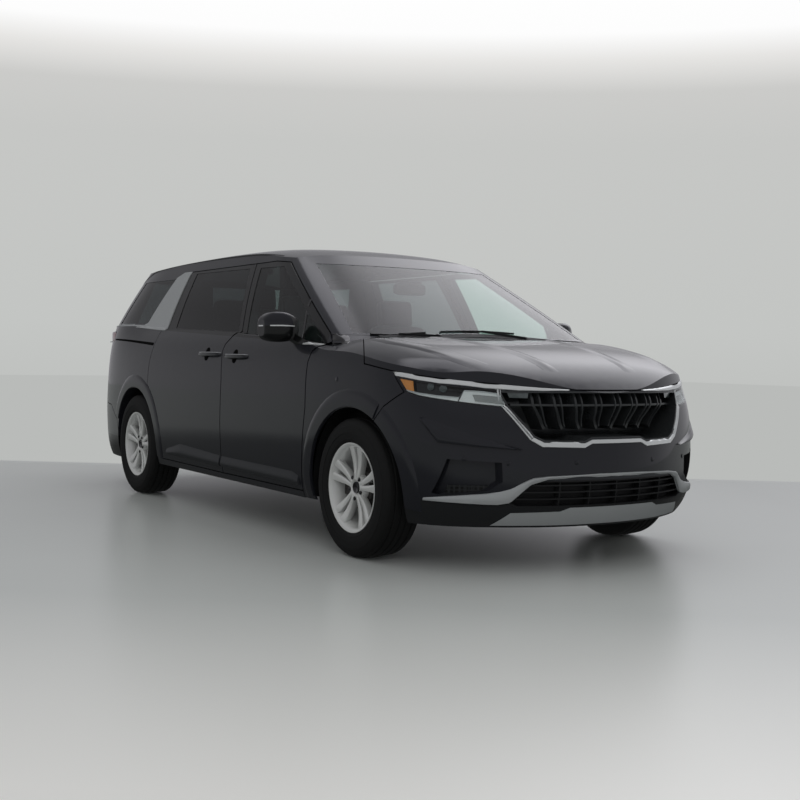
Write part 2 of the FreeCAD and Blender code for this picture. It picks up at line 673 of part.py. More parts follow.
def rim_shape(outward):
    """A wheel with its hub bore and brake disc. The outer face looks along outward times +Y."""
    half = size("rim_width") / 2
    bead = size("bead_radius")
    rim = size("rim_radius")
    barrel = [(-half, rim), (-half + 8, rim), (-half + 8, bead), (half - 8, bead),
              (half - 8, rim), (half, rim), (half, rim - 8), (half - 14, bead - 10),
              (-half, bead - 10)]
    spindle = size("spindle_radius") + size("running_gap")
    disc = size("brake_disc_radius")
    hub = [(-12, spindle), (-12, disc), (14, disc), (14, 80), (66, 80), (76, 62), (80, 30),
           (80, 0), (50, 0), (50, spindle)]
    shape = ring_profile(barrel)
    spokes = []
    for index in range(10):
        angle = 36 * index + (9 if index % 2 else -9)
        inner = [Vector(-14, 36, 60), Vector(14, 36, 60), Vector(9, 74, 60), Vector(-9, 74, 60)]
        outer_end = [Vector(-22, 56, bead - 6), Vector(22, 56, bead - 6),
                     Vector(15, half - 12, bead - 6), Vector(-15, half - 12, bead - 6)]
        spoke = Part.makeLoft([Part.makePolygon(inner + inner[:1]),
                               Part.makePolygon(outer_end + outer_end[:1])], True, True)
        spoke.rotate(Vector(0, 0, 0), Vector(0, 1, 0), angle)
        spokes.append(spoke)
    shape = shape.fuse([ring_profile(hub)] + spokes)
    if outward < 0:
        shape = mirrored(shape)
    return shape


WHEELS = [("front_left", front_axle_x, 1), ("front_right", front_axle_x, -1),
          ("rear_left", rear_axle_x, 1), ("rear_right", rear_axle_x, -1)]
for name, x, side in WHEELS:
    place = Placement(Vector(x, side * wheel_y, hub_height), Rotation())
    feature(tyre_shape(), f"tyre_{name}", place)
    feature(rim_shape(side), f"rim_{name}", place)


# Steering knuckles, suspension and axles
def spindle_rod(x, y0, y1):
    return cylinder_between(Vector(x, y0, hub_height), Vector(x, y1, hub_height),
                            size("spindle_radius"))


pin_y = wheel_y - size("kingpin_offset")
upright = box(front_axle_x - 48, front_axle_x + 48, wheel_y - 75, wheel_y - 20,
              hub_height - 150, hub_height + 140)
disc = size("brake_disc_radius")
caliper = box(front_axle_x - 190, front_axle_x - 92, wheel_y - 46, wheel_y + 30,
              hub_height - 55, hub_height + 55)
slot = cylinder_between(Vector(front_axle_x, wheel_y - 16, hub_height),
                        Vector(front_axle_x, wheel_y + 18, hub_height), disc + 6)
caliper = caliper.cut(slot)
drum = cylinder_between(Vector(front_axle_x, wheel_y - 60, hub_height),
                        Vector(front_axle_x, wheel_y + 40, hub_height), 195)
caliper = caliper.common(drum)
arm = box(front_axle_x - 112, front_axle_x - 40, wheel_y - 60, wheel_y - 22, hub_height - 40,
          hub_height + 40)
kingpins = [Part.makeCylinder(size("kingpin_radius"), 15, Vector(front_axle_x, pin_y, z))
            for z in (hub_height - 165, hub_height + 140)]
knuckle = upright.fuse([spindle_rod(front_axle_x, wheel_y - 60, wheel_y + 46), caliper, arm]
                       + kingpins)
feature(knuckle, "knuckle_left")
feature(mirrored(knuckle), "knuckle_right")

seat_gap = size("running_gap")
lower_arm = box(front_axle_x - 22, front_axle_x + 22, 420, pin_y + 22,
                hub_height - 172, hub_height - 150 - seat_gap)
upper_arm = box(front_axle_x - 20, front_axle_x + 20, 620, pin_y + 20,
                hub_height + 140 + seat_gap, hub_height + 160)
pin_holes = [Part.makeCylinder(size("kingpin_radius") + seat_gap, 20, Vector(front_axle_x, pin_y, z))
             for z in (hub_height - 166, hub_height + 136)]
lower_arm = lower_arm.cut(pin_holes[0])
upper_arm = upper_arm.cut(pin_holes[1])
strut = cylinder_between(Vector(front_axle_x, 640, hub_height + 142),
                         Vector(front_axle_x, 620, 767.4), 27)
member = box(front_axle_x - 160, front_axle_x + 120, -470, 470, hub_height - 172, hub_height - 110)
suspension = member.fuse([lower_arm, upper_arm, strut, mirrored(lower_arm), mirrored(upper_arm),
                          mirrored(strut)])
feature(suspension, "front_suspension")

beam = cylinder_between(Vector(rear_axle_x, -760, hub_height - 40),
                        Vector(rear_axle_x, 760, hub_height - 40), 36)
carrier = box(rear_axle_x - 60, rear_axle_x + 60, 720, wheel_y - 20, hub_height - 90, hub_height + 60)
trailing = box(rear_axle_x, -950, 480, 550, 240, 299.7)
spindle = spindle_rod(rear_axle_x, 760, wheel_y + 46)
axle = beam.fuse([carrier, trailing, spindle, mirrored(carrier), mirrored(trailing),
                  mirrored(spindle)])
feature(axle, "rear_axle")


# Engine, exhaust and tank
def plain_box(label, x0, x1, y0, y1, z0, z1, radius=0):
    obj = doc.addObject("Part::Box", label)
    obj.Length = x1 - x0
    obj.Width = y1 - y0
    obj.Height = z1 - z0
    obj.Placement = Placement(Vector(x0, y0, z0), Rotation())
    return keep(obj, label)


plain_box("engine_block", 1420, 2080, -330, 340, 440, 860)
plain_box("fuel_tank", -940, -200, 60, 620, 196, 299.7)
pipe = cylinder_between(Vector(1200, -240, 240), Vector(-2080, -240, 240), 30)
muffler = cylinder_between(Vector(-1950, -240, 330), Vector(-1950, 420, 330), 95)
tail_pipe = cylinder_between(Vector(-2080, -240, 240), Vector(-2420, -420, 300), 32)
hangers = [box(x, x + 24, -252, -228, 240, 299.7) for x in (900, -300, -900)]
hangers.append(box(-1962, -1938, -200, -176, 330, 457.7))
feature(pipe.fuse([muffler, tail_pipe] + hangers), "exhaust")


# Seats
def soft_box(x0, x1, y0, y1, z0, z1, radius):
    solid = box(x0, x1, y0, y1, z0, z1)
    return solid.makeFillet(radius, solid.Edges)


def seat_shape(x, y, width, floor_z):
    """A seat on its base, with its back leaning to the rear and a head restraint on it."""
    base = box(x + 60, x + 440, y - width / 2 + 60, y + width / 2 - 60, floor_z, floor_z + 200)
    cushion = soft_box(x, x + 510, y - width / 2, y + width / 2, floor_z + 150, floor_z + 310, 45)
    back = soft_box(x - 50, x + 90, y - width / 2 + 10, y + width / 2 - 10, floor_z + 200,
                    floor_z + 800, 45)
    back.rotate(Vector(x + 60, 0, floor_z + 250), Vector(0, 1, 0), -16)
    head = soft_box(x - 190, x - 90, y - 130, y + 130, floor_z + 790, floor_z + 960, 38)
    head.rotate(Vector(x - 140, 0, floor_z + 860), Vector(0, 1, 0), -8)
    stem = box(x - 155, x - 125, y - 60, y + 60, floor_z + 700, floor_z + 850)
    return base.fuse([cushion, back, head, stem])


width = size("seat_width")
feature(pair(seat_shape(-60, 380, width, 316.3)), "front_seats")
rear = [seat_shape(-930, 420, width, 316.3), seat_shape(-930, -420, width, 316.3),
        seat_shape(-1880, 280, 540, 474.3), seat_shape(-1880, -280, 540, 474.3)]
feature(Part.makeCompound(rear), "rear_seats")

dash = side_prism([(1300, 700), (1300, 1000), (1180, 1030), (900, 1010), (800, 960), (800, 760),
                   (900, 700)], -780, 780)
console = box(200, 1000, -110, 110, 316.3, 705)
wheel_centre = Vector(690, 380, 930)
tilt = 24
column_way = Vector(math.cos(math.radians(tilt)), 0, -math.sin(math.radians(tilt)))
column = cylinder_between(wheel_centre + column_way * 20.3, wheel_centre + column_way * 180, 34)
feature(dash.fuse([console, column]), "dashboard")

ring = Part.makeTorus(size("steering_wheel_radius"), 15)
hub_disc = Part.makeCylinder(60, 40, Vector(0, 0, -20))
bars = [box(-size("steering_wheel_radius"), size("steering_wheel_radius"), -14, 14, -8, 8),
        box(-14, 14, -size("steering_wheel_radius"), 0, -8, 8)]
steering = ring.fuse([hub_disc] + bars)
steering_place = Placement(wheel_centre, Rotation(Vector(0, 1, 0), -90 + tilt))
feature(steering, "steering_wheel", steering_place)


# Mirrors
# Distance from the middle, then rear, front, low and high limits of the housing there
MIRROR_SECTIONS = [(930, 902, 962, 1142, 1226), (946, 878, 982, 1126, 1250),
                   (985, 858, 990, 1112, 1268), (1040, 838, 984, 1106, 1276),
                   (1080, 822, 962, 1110, 1270), (1108, 818, 938, 1122, 1252),
                   (1120, 832, 916, 1138, 1232)]


def mirror_shape():
    wires = []
    for y, x0, x1, z0, z1 in MIRROR_SECTIONS:
        points = []
        for index in range(16):
            angle = 2 * math.pi * index / 16
            across = math.copysign(abs(math.cos(angle)) ** 0.6, math.cos(angle))
            up = math.copysign(abs(math.sin(angle)) ** 0.6, math.sin(angle))
            points.append(Vector((x0 + x1) / 2 + across * (x1 - x0) / 2, y,
                                 (z0 + z1) / 2 + up * (z1 - z0) / 2))
        curve = Part.BSplineCurve()
        curve.interpolate(Points=points, PeriodicFlag=True)
        wires.append(Part.Wire([curve.toShape()]))
    housing = Part.makeLoft(wires, True, False, False, 3)
    foot = [Vector(1060, 935, 1060), Vector(1130, 935, 1060), Vector(1130, 935, 1100),
            Vector(1060, 935, 1100)]
    head = [Vector(905, 968, 1120), Vector(975, 968, 1120), Vector(975, 968, 1160),
            Vector(905, 968, 1160)]
    stalk = Part.makeLoft([Part.makePolygon(foot + foot[:1]), Part.makePolygon(head + head[:1])],
                          True, True)
    return housing.fuse(stalk).cut([front_door, outer])


mirror = mirror_shape()
feature(mirror, "mirror_left")
feature(mirrored(mirror), "mirror_right")

doc.recompute()
for obj in doc.Objects:
    if "Invalid" in obj.State or "Error" in obj.State:
        raise RuntimeError(f"{obj.Label} did not compute")
for obj in nodes:
    if obj.Shape.isNull() or not obj.Shape.isValid():
        raise RuntimeError(f"{obj.Label} has no valid shape")
for obj in nodes:
    obj.Shape.exportStep(f"parts/{obj.Label}.step")
    print(obj.Label, len(obj.Shape.Solids), round(obj.Shape.Volume / 1e6, 2))
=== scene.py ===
import json
import math

import bmesh
import bpy
from mathutils import Matrix, Vector
from mathutils.bvhtree import BVHTree


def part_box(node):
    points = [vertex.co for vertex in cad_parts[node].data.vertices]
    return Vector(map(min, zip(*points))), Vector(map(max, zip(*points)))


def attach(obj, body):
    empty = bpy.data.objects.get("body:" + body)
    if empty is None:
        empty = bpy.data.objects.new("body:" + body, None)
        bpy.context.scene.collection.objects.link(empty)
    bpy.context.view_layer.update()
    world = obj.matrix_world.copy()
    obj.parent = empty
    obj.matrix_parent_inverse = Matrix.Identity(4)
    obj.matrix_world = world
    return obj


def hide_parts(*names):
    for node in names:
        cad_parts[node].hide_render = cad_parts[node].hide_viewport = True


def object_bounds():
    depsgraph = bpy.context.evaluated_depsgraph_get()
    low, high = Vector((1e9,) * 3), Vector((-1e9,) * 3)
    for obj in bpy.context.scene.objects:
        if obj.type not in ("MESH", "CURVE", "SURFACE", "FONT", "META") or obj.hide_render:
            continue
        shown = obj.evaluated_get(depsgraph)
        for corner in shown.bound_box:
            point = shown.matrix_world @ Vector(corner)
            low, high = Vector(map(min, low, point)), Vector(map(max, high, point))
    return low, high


bl_info = {
    "name": "Minivan dressing",
    "version": (1, 0, 0),
    "blender": (4, 5, 0),
    "location": "View3D > Sidebar > Minivan",
    "description": "Finishes, lamps, trim and studio for a three-row minivan",
    "category": "Object",
}

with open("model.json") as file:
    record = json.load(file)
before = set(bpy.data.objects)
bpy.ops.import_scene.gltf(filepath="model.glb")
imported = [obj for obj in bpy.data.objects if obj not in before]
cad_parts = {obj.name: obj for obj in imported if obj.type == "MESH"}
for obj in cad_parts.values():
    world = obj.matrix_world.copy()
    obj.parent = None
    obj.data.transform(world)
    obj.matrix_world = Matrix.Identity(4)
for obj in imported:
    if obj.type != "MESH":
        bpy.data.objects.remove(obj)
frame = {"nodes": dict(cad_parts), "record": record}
NODES = frame["nodes"]
CAD_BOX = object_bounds()

MM = 0.001
FRONT_AXLE = 1642.5
REAR_AXLE = -1447.5
AXLE_HEIGHT = 361.0
WHEEL_MIDDLE = 867.5
GROOVE_DEPTH = 7.0
ARCH_INNER = 417.0
ARCH_OUTER = 510.0
WALL_LOW = "#b9bbb9"
# What paint and glass mirror: brightness by the height of the direction, then bright patches by
# direction, the cosines where each starts and is full, and its strength
MIRRORED_LEVELS = ((0.0, 0.45), (0.14, 0.4), (0.27, 0.33), (0.45, 0.38), (0.7, 0.4))
MIRRORED_PATCHES = (((-0.38, 0.72, 0.58), 0.86, 0.99, 3.1),
                    ((-0.46, 0.2, 0.865), 0.975, 0.995, 2.6))
# The camera in metres, and its azimuth, elevation and roll in degrees
CAMERA_PLACE = (6.8517, -4.0596, 1.0440)
CAMERA_TURN = (57.052, 2.1536, 1.1144)
# Seats by their rear edge, middle, width and floor height
FRONT_SEATS = ((20, 380, 500, 316.3), (20, -380, 500, 316.3))
REAR_SEATS = ((-930, 420, 500, 316.3), (-930, -420, 500, 316.3), (-1880, 280, 540, 474.3),
              (-1880, -280, 540, 474.3))


# Colours and nodes

def linear(hex_colour):
    """An sRGB hex colour as linear red, green, blue and alpha."""
    parts = [int(hex_colour[i:i + 2], 16) / 255 for i in (1, 3, 5)]
    return [c / 12.92 if c <= 0.04045 else ((c + 0.055) / 1.055) ** 2.4 for c in parts] + [1.0]


def rgba(colour):
    """A hex colour, or a colour from the settings, as linear red, green, blue and alpha."""
    return linear(colour) if isinstance(colour, str) else [*colour, 1.0]


class MINIVAN_PG_settings(bpy.types.PropertyGroup):
    """Colours and sizes of the dressing that a user would change"""

    paint_low: bpy.props.FloatVectorProperty(
        name="Paint between flakes", description="Darker colour of the metallic enamel",
        subtype="COLOR", size=3, min=0.0, max=1.0, default=linear("#202126")[:3])
    paint_high: bpy.props.FloatVectorProperty(
        name="Paint flakes", description="Lighter colour of the metallic enamel",
        subtype="COLOR", size=3, min=0.0, max=1.0, default=linear("#2a2b31")[:3])
    seat_low: bpy.props.FloatVectorProperty(
        name="Seat cloth, dark", description="Darker thread of the seat cloth",
        subtype="COLOR", size=3, min=0.0, max=1.0, default=linear("#2b2b2e")[:3])
    seat_high: bpy.props.FloatVectorProperty(
        name="Seat cloth, light", description="Lighter thread of the seat cloth",
        subtype="COLOR", size=3, min=0.0, max=1.0, default=linear("#38383b")[:3])
    wheel_radius: bpy.props.FloatProperty(
        name="Steering wheel radius", description="From the hub to the middle of the rim",
        unit="LENGTH", min=0.15, max=0.2, default=0.178)
    floor_reach: bpy.props.FloatProperty(
        name="Floor reach", description="Half of the floor's width",
        unit="LENGTH", min=5.0, max=100.0, default=40.0)
    ceiling_power: bpy.props.FloatProperty(
        name="Ceiling light", description="Power of the softbox over the vehicle",
        unit="POWER", min=0.0, max=500.0, default=60.0)
    front_power: bpy.props.FloatProperty(
        name="Front light", description="Power of the softbox before the nose",
        unit="POWER", min=0.0, max=500.0, default=26.0)
    lens: bpy.props.FloatProperty(
        name="Camera lens", description="Focal length of the camera",
        unit="CAMERA", min=15.0, max=200.0, default=53.2)


def settings():
    """The minivan's settings in the present scene."""
    return bpy.context.scene.minivan_settings


def add_node(tree, kind, inputs=None, **options):
    """Adds a shader node with its options, input values and input links."""
    node = tree.nodes.new(kind)
    for name, value in options.items():
        setattr(node, name, value)
    for name, value in (inputs or {}).items():
        if isinstance(value, bpy.types.NodeSocket):
            tree.links.new(value, node.inputs[name])
        else:
            node.inputs[name].default_value = value
    return node


def new_material(name, **values):
    """A material with a Principled shader whose sockets are set by value."""
    material = bpy.data.materials.new(name)
    material.use_nodes = True
    tree = material.node_tree
    shader = tree.nodes["Principled BSDF"]
    for key, value in values.items():
        shader.inputs[key.replace("_", " ")].default_value = value
    return material, tree, shader


def object_point(tree):
    """The Object coordinates of what is shaded."""
    return tree.nodes.new("ShaderNodeTexCoord").outputs["Object"]


def grain(tree, shader, size_mm, strength, distance_mm=0.2, detail=3.0):
    """Fine surface grain as a bump, its cell size given in millimetres."""
    noise = add_node(tree, "ShaderNodeTexNoise",
                     {"Vector": object_point(tree), "Scale": 1000.0 / size_mm, "Detail": detail})
    bump = add_node(tree, "ShaderNodeBump",
                    {"Height": noise.outputs["Fac"], "Strength": strength,
                     "Distance": distance_mm * MM})
    tree.links.new(bump.outputs["Normal"], shader.inputs["Normal"])
    return noise


def mottled(tree, shader, socket, low, high, size_mm):
    """A colour that wanders softly between two hex colours."""
    noise = add_node(tree, "ShaderNodeTexNoise",
                     {"Vector": object_point(tree), "Scale": 1000.0 / size_mm, "Detail": 4.0})
    mix = add_node(tree, "ShaderNodeMix", data_type="RGBA")
    tree.links.new(noise.outputs["Fac"], mix.inputs["Factor"])
    mix.inputs["A"].default_value = rgba(low)
    mix.inputs["B"].default_value = rgba(high)
    tree.links.new(mix.outputs["Result"], shader.inputs[socket])


def inside(tree, outline, axes):
    """1 inside a convex outline, in mm on two of the object's axes, and 0 outside it."""
    centre = [sum(point[k] for point in outline) / len(outline) for k in (0, 1)]
    point = object_point(tree)
    least = None
    for (a0, b0), (a1, b1) in zip(outline, outline[1:] + outline[:1]):
        across = [b0 - b1, a1 - a0]
        length = math.hypot(*across)
        across = [value / length for value in across]
        offset = -(across[0] * a0 + across[1] * b0)
        if across[0] * centre[0] + across[1] * centre[1] + offset < 0:
            across = [-across[0], -across[1]]
            offset = -offset
        normal = [0.0, 0.0, 0.0]
        normal[axes[0]], normal[axes[1]] = across
        dot = add_node(tree, "ShaderNodeVectorMath", {0: point, 1: normal}, operation="DOT_PRODUCT")
        far = add_node(tree, "ShaderNodeMath", {0: dot.outputs["Value"], 1: offset * MM})
        least = far.outputs[0] if least is None else add_node(
            tree, "ShaderNodeMath", {0: least, 1: far.outputs[0]}, operation="MINIMUM").outputs[0]
    return add_node(tree, "ShaderNodeMath", {0: least, 1: 0.0}, operation="GREATER_THAN").outputs[0]


def cabin_side(tree):
    """1 on the faces that look into the cabin: the walls' inner faces and the roof's underside."""
    coordinates = tree.nodes.new("ShaderNodeTexCoord")
    normal = add_node(tree, "ShaderNodeSeparateXYZ", {0: coordinates.outputs["Normal"]})
    place = add_node(tree, "ShaderNodeSeparateXYZ", {0: coordinates.outputs["Object"]})
    product = add_node(tree, "ShaderNodeMath", {0: normal.outputs[1], 1: place.outputs[1]},
                       operation="MULTIPLY")
    wall = add_node(tree, "ShaderNodeMath", {0: product.outputs[0], 1: -0.12}, operation="LESS_THAN")
    down = add_node(tree, "ShaderNodeMath", {0: normal.outputs[2], 1: -0.45}, operation="LESS_THAN")
    high = add_node(tree, "ShaderNodeMath", {0: place.outputs[2], 1: 1.3}, operation="GREATER_THAN")
    under = add_node(tree, "ShaderNodeMath", {0: down.outputs[0], 1: high.outputs[0]},
                     operation="MULTIPLY")
    return add_node(tree, "ShaderNodeMath", {0: wall.outputs[0], 1: under.outputs[0]},
                    operation="MAXIMUM").outputs[0]


def blended(tree, shader, socket, mask, value):
    """Mixes another colour or number into a socket where the mask is 1."""
    colour = isinstance(value, str)
    mix = add_node(tree, "ShaderNodeMix", data_type="RGBA" if colour else "FLOAT")
    tree.links.new(mask, mix.inputs["Factor"])
    a, b = [i for i in mix.inputs if i.name in "AB" and i.enabled][:2]
    out = [o for o in mix.outputs if o.enabled][0]
    if shader.inputs[socket].is_linked:
        tree.links.new(shader.inputs[socket].links[0].from_socket, a)
    else:
        a.default_value = shader.inputs[socket].default_value
    b.default_value = linear(value) if colour else value
    tree.links.new(out, shader.inputs[socket])


WINDOW_BAND = [(1262, 1098), (1262, 1158), (470, 1599), (300, 1611), (21, 1609), (-1008, 1605),
               (-1083, 1188)]


def metallic_paint(name="graphite_metallic_enamel", outline=WINDOW_BAND, axes=(0, 2),
                   shade="#0d0e0f"):
    """Graphite metallic enamel under clear coat: fine flakes glint, and the coat gives sharp gloss.
    The window frames and pillars inside the outline are black, and faces in the cabin are trim."""
    material, tree, shader = new_material(name, Metallic=0.3, Roughness=0.34, Coat_Weight=0.75,
                                          Specular_IOR_Level=0.15, Coat_Roughness=0.03,
                                          Coat_IOR=1.5)
    mottled(tree, shader, "Base Color", settings().paint_low, settings().paint_high, 2.0)
    for mask, colour, roughness in ((inside(tree, outline, axes), shade, 0.42),
                                    (cabin_side(tree), "#3a3a3b", 0.8)):
        blended(tree, shader, "Base Color", mask, colour)
        blended(tree, shader, "Metallic", mask, 0.0)
        blended(tree, shader, "Roughness", mask, roughness)
    return material


def between(low, high):
    """An outline across the whole vehicle between two heights."""
    return [(-2000, low), (2000, low), (2000, high), (-2000, high)]


def front_bumper_paint():
    """The same enamel on the front bumper, whose lowest part is bare dark plastic."""
    return metallic_paint("bumper_enamel", between(-100, 352), (1, 2), "#1e1f21")


def rear_bumper_paint():
    """The same enamel on the rear bumper, whose lowest part is bare dark plastic."""
    return metallic_paint("rear_bumper_enamel", between(-100, 392), (1, 2))


def mirror_paint():
    """The same enamel on the mirror caps, whose lower halves are bare dark plastic."""
    return metallic_paint("mirror_enamel", between(900, 1196), (1, 2))


def plain_paint():
    """The same enamel without any black part, for trim that is painted with the body."""
    return metallic_paint("trim_enamel", [(5000, 5000), (5100, 5000), (5100, 5100), (5000, 5100)])


def sheet_glass(name, low, high):
    """Thin glass that tints what is seen through it and mirrors more at a low angle."""
    material, tree, shader = new_material(name)
    tree.nodes.remove(shader)
    noise = add_node(tree, "ShaderNodeTexNoise", {"Vector": object_point(tree), "Scale": 4.0})
    tint = add_node(tree, "ShaderNodeMix", {"Factor": noise.outputs["Fac"], 6: linear(low),
                                            7: linear(high)}, data_type="RGBA")
    through = add_node(tree, "ShaderNodeBsdfTransparent", {"Color": tint.outputs[2]})
    mirror = add_node(tree, "ShaderNodeBsdfAnisotropic", {"Color": (1.0, 1.0, 1.0, 1.0),
                                                          "Roughness": 0.0})
    angle = add_node(tree, "ShaderNodeFresnel", {"IOR": 1.5})
    facing = add_node(tree, "ShaderNodeMath", {0: 1.0, 1: tree.nodes.new(
        "ShaderNodeNewGeometry").outputs["Backfacing"]}, operation="SUBTRACT")
    share = add_node(tree, "ShaderNodeMath", {0: angle.outputs[0], 1: facing.outputs[0]},
                     operation="MULTIPLY")
    mix = add_node(tree, "ShaderNodeMixShader", {"Fac": share.outputs[0], 1: through.outputs[0],
                                                 2: mirror.outputs[0]})
    tree.links.new(mix.outputs[0], tree.nodes["Material Output"].inputs["Surface"])
    return material


def clear_glass():
    """Laminated and tempered glass with a light green tint."""
    return sheet_glass("tinted_laminated_glass", "#e3edea", "#e6efec")


def privacy_glass():
    """Dark body-tinted tempered glass of the rear windows."""
    return sheet_glass("privacy_glass", "#a0a7a8", "#a4abac")


def lamp_glass():
    """Clear polycarbonate lamp covers."""
    return sheet_glass("clear_polycarbonate", "#f2f4f4", "#f6f8f8")


def moulded_black():
    """Grained black polypropylene, moulded, with a dull sheen."""
    material, tree, shader = new_material("grained_polypropylene", Roughness=0.55)
    mottled(tree, shader, "Base Color", "#17181a", "#1d1e20", 30.0)
    grain(tree, shader, 1.2, 0.25)
    return material


def gloss_black():
    """Piano-black ABS, moulded and lacquered."""
    material, tree, shader = new_material("lacquered_black_abs", Roughness=0.12, Coat_Weight=0.6,
                                          Coat_Roughness=0.03)
    mottled(tree, shader, "Base Color", "#0b0b0d", "#101013", 60.0)
    return material


def satin_silver():
    """Silver-painted ABS with a satin clear coat."""
    material, tree, shader = new_material("satin_silver_abs", Metallic=0.45, Roughness=0.36)
    mottled(tree, shader, "Base Color", "#b0b3b5", "#babdbf", 3.0)
    grain(tree, shader, 0.8, 0.05)
    return material


def chrome():
    """Bright chrome plate on ABS."""
    material, tree, shader = new_material("chrome_plate", Metallic=1.0, Roughness=0.06)
    mottled(tree, shader, "Base Color", "#d2d4d6", "#dadcde", 50.0)
    return material


def wheel_alloy():
    """Cast aluminium wheel, silver painted and lacquered."""
    material, tree, shader = new_material("silver_wheel_alloy", Metallic=0.4, Roughness=0.3,
                                          Coat_Weight=0.5, Coat_Roughness=0.05)
    mottled(tree, shader, "Base Color", "#e0e1e0", "#e9eae9", 4.0)
    return material


def tyre_rubber():
    """Vulcanised tyre rubber, nearly black and matt."""
    material, tree, shader = new_material("vulcanised_rubber", Roughness=0.72)
    mottled(tree, shader, "Base Color", "#0d0e0e", "#131414", 25.0)
    grain(tree, shader, 2.0, 0.2)
    return material


def chassis_black():
    """Electrocoated black steel under the floor."""
    material, tree, shader = new_material("electrocoated_steel", Roughness=0.5)
    mottled(tree, shader, "Base Color", "#121314", "#1a1b1c", 80.0)
    grain(tree, shader, 3.0, 0.1)
    return material


def cast_iron():
    """Rough cast iron of the knuckles, brakes and engine."""
    material, tree, shader = new_material("cast_iron", Metallic=0.7, Roughness=0.6)
    mottled(tree, shader, "Base Color", "#4a4847", "#5c5a58", 20.0)
    grain(tree, shader, 1.5, 0.3)
    return material


def exhaust_steel():
    """Brushed stainless exhaust pipe."""
    material, tree, shader = new_material("stainless_pipe", Metallic=1.0, Roughness=0.35)
    mottled(tree, shader, "Base Color", "#8d8a85", "#a09d98", 40.0)
    return material


def soft_black():
    """Black leather-grained polyurethane on the steering wheel."""
    material, tree, shader = new_material("grained_polyurethane", Roughness=0.5)
    mottled(tree, shader, "Base Color", "#141415", "#1b1b1c", 10.0)
    grain(tree, shader, 1.5, 0.3)
    return material


def mirror_silver():
    """Silvered glass of the outside mirrors."""
    material, tree, shader = new_material("silvered_glass", Metallic=1.0, Roughness=0.02)
    mottled(tree, shader, "Base Color", "#c9cccd", "#cdd0d1", 60.0)
    return material


def seat_cloth():
    """Woven seat cloth in charcoal, about 2 mm threads."""
    material, tree, shader = new_material("woven_seat_cloth", Roughness=0.9, Sheen_Weight=0.3)
    mottled(tree, shader, "Base Color", settings().seat_low, settings().seat_high, 4.0)
    grain(tree, shader, 2.0, 0.5)
    return material


def satin_paint():
    """The body colour on grained plastic mouldings, with a softer sheen."""
    material, tree, shader = new_material("satin_body_coloured_plastic", Metallic=0.3,
                                          Roughness=0.42)
    mottled(tree, shader, "Base Color", "#2f3134", "#34363a", 3.0)
    return material


def satin_chrome():
    """Satin chrome of the strips round the grille and along the lamps."""
    material, tree, shader = new_material("satin_chrome_abs", Metallic=0.5, Roughness=0.2)
    mottled(tree, shader, "Base Color", "#e2e5e6", "#eaecee", 30.0)
    return material


def grille_black():
    """Satin black ABS of the grille, which shows a soft edge light."""
    material, tree, shader = new_material("satin_black_abs", Metallic=0.25, Roughness=0.26,
                                          Coat_Weight=0.4, Coat_Roughness=0.08)
    mottled(tree, shader, "Base Color", "#303234", "#36383a", 40.0)
    return material


def smoked_optics():
    """Smoked optics of the projectors and of the small lamps in the grille."""
    material, tree, shader = new_material("smoked_optics", Roughness=0.12, Coat_Weight=1.0,
                                          Coat_Roughness=0.02)
    mottled(tree, shader, "Base Color", "#3b4143", "#596062", 14.0)
    grain(tree, shader, 9.0, 0.4, 1.0, 0.0)
    return material


def painted_shade_black():
    """Painted shade: a near-black sheet that stands in for the unlit inside of slots that lead into
    the bodywork.
    """
    material, tree, shader = new_material("painted_slot_shade", Roughness=0.95, Specular_IOR_Level=0.1)
    mottled(tree, shader, "Base Color", "#040404", "#070707", 10.0)
    return material


def amber_lens():
    """Amber polycarbonate over a marker reflector with fine prisms."""
    material, tree, shader = new_material("amber_polycarbonate", Roughness=0.15, Coat_Weight=1.0,
                                          Coat_Roughness=0.02)
    mottled(tree, shader, "Base Color", "#d98436", "#eba052", 6.0)
    grain(tree, shader, 3.0, 0.3)
    return material


def lamp_white():
    """Frosted white light guide of the running lamp."""
    material, tree, shader = new_material("frosted_light_guide", Roughness=0.25, Coat_Weight=0.6)
    mottled(tree, shader, "Base Color", "#dfe1e3", "#f2f3f4", 5.0)
    grain(tree, shader, 3.0, 0.3)
    return material


def lamp_cells():
    """Ribbed clear optics over the running lamp; the ribs' highlights and shade are painted in as
    light and dark grey bands.
    """
    material, tree, shader = new_material("ribbed_optics", Roughness=0.2, Coat_Weight=1.0)
    # Painted highlights and shade: light and dark bands across the ribs.
    ribs = add_node(tree, "ShaderNodeTexWave", {"Vector": object_point(tree), "Scale": 90.0},
                    bands_direction="Z")
    tint = add_node(tree, "ShaderNodeMix", {"Factor": ribs.outputs["Fac"], 6: linear("#77797a"),
                                            7: linear("#b4b5b5")}, data_type="RGBA")
    tree.links.new(tint.outputs[2], shader.inputs["Base Color"])
    return material


def red_lens():
    """Deep red polycarbonate lamp cover."""
    material, tree, shader = new_material("red_polycarbonate", Roughness=0.08, Coat_Weight=1.0,
                                          Coat_Roughness=0.02)
    mottled(tree, shader, "Base Color", "#5d0d12", "#74131a", 12.0)
    return material


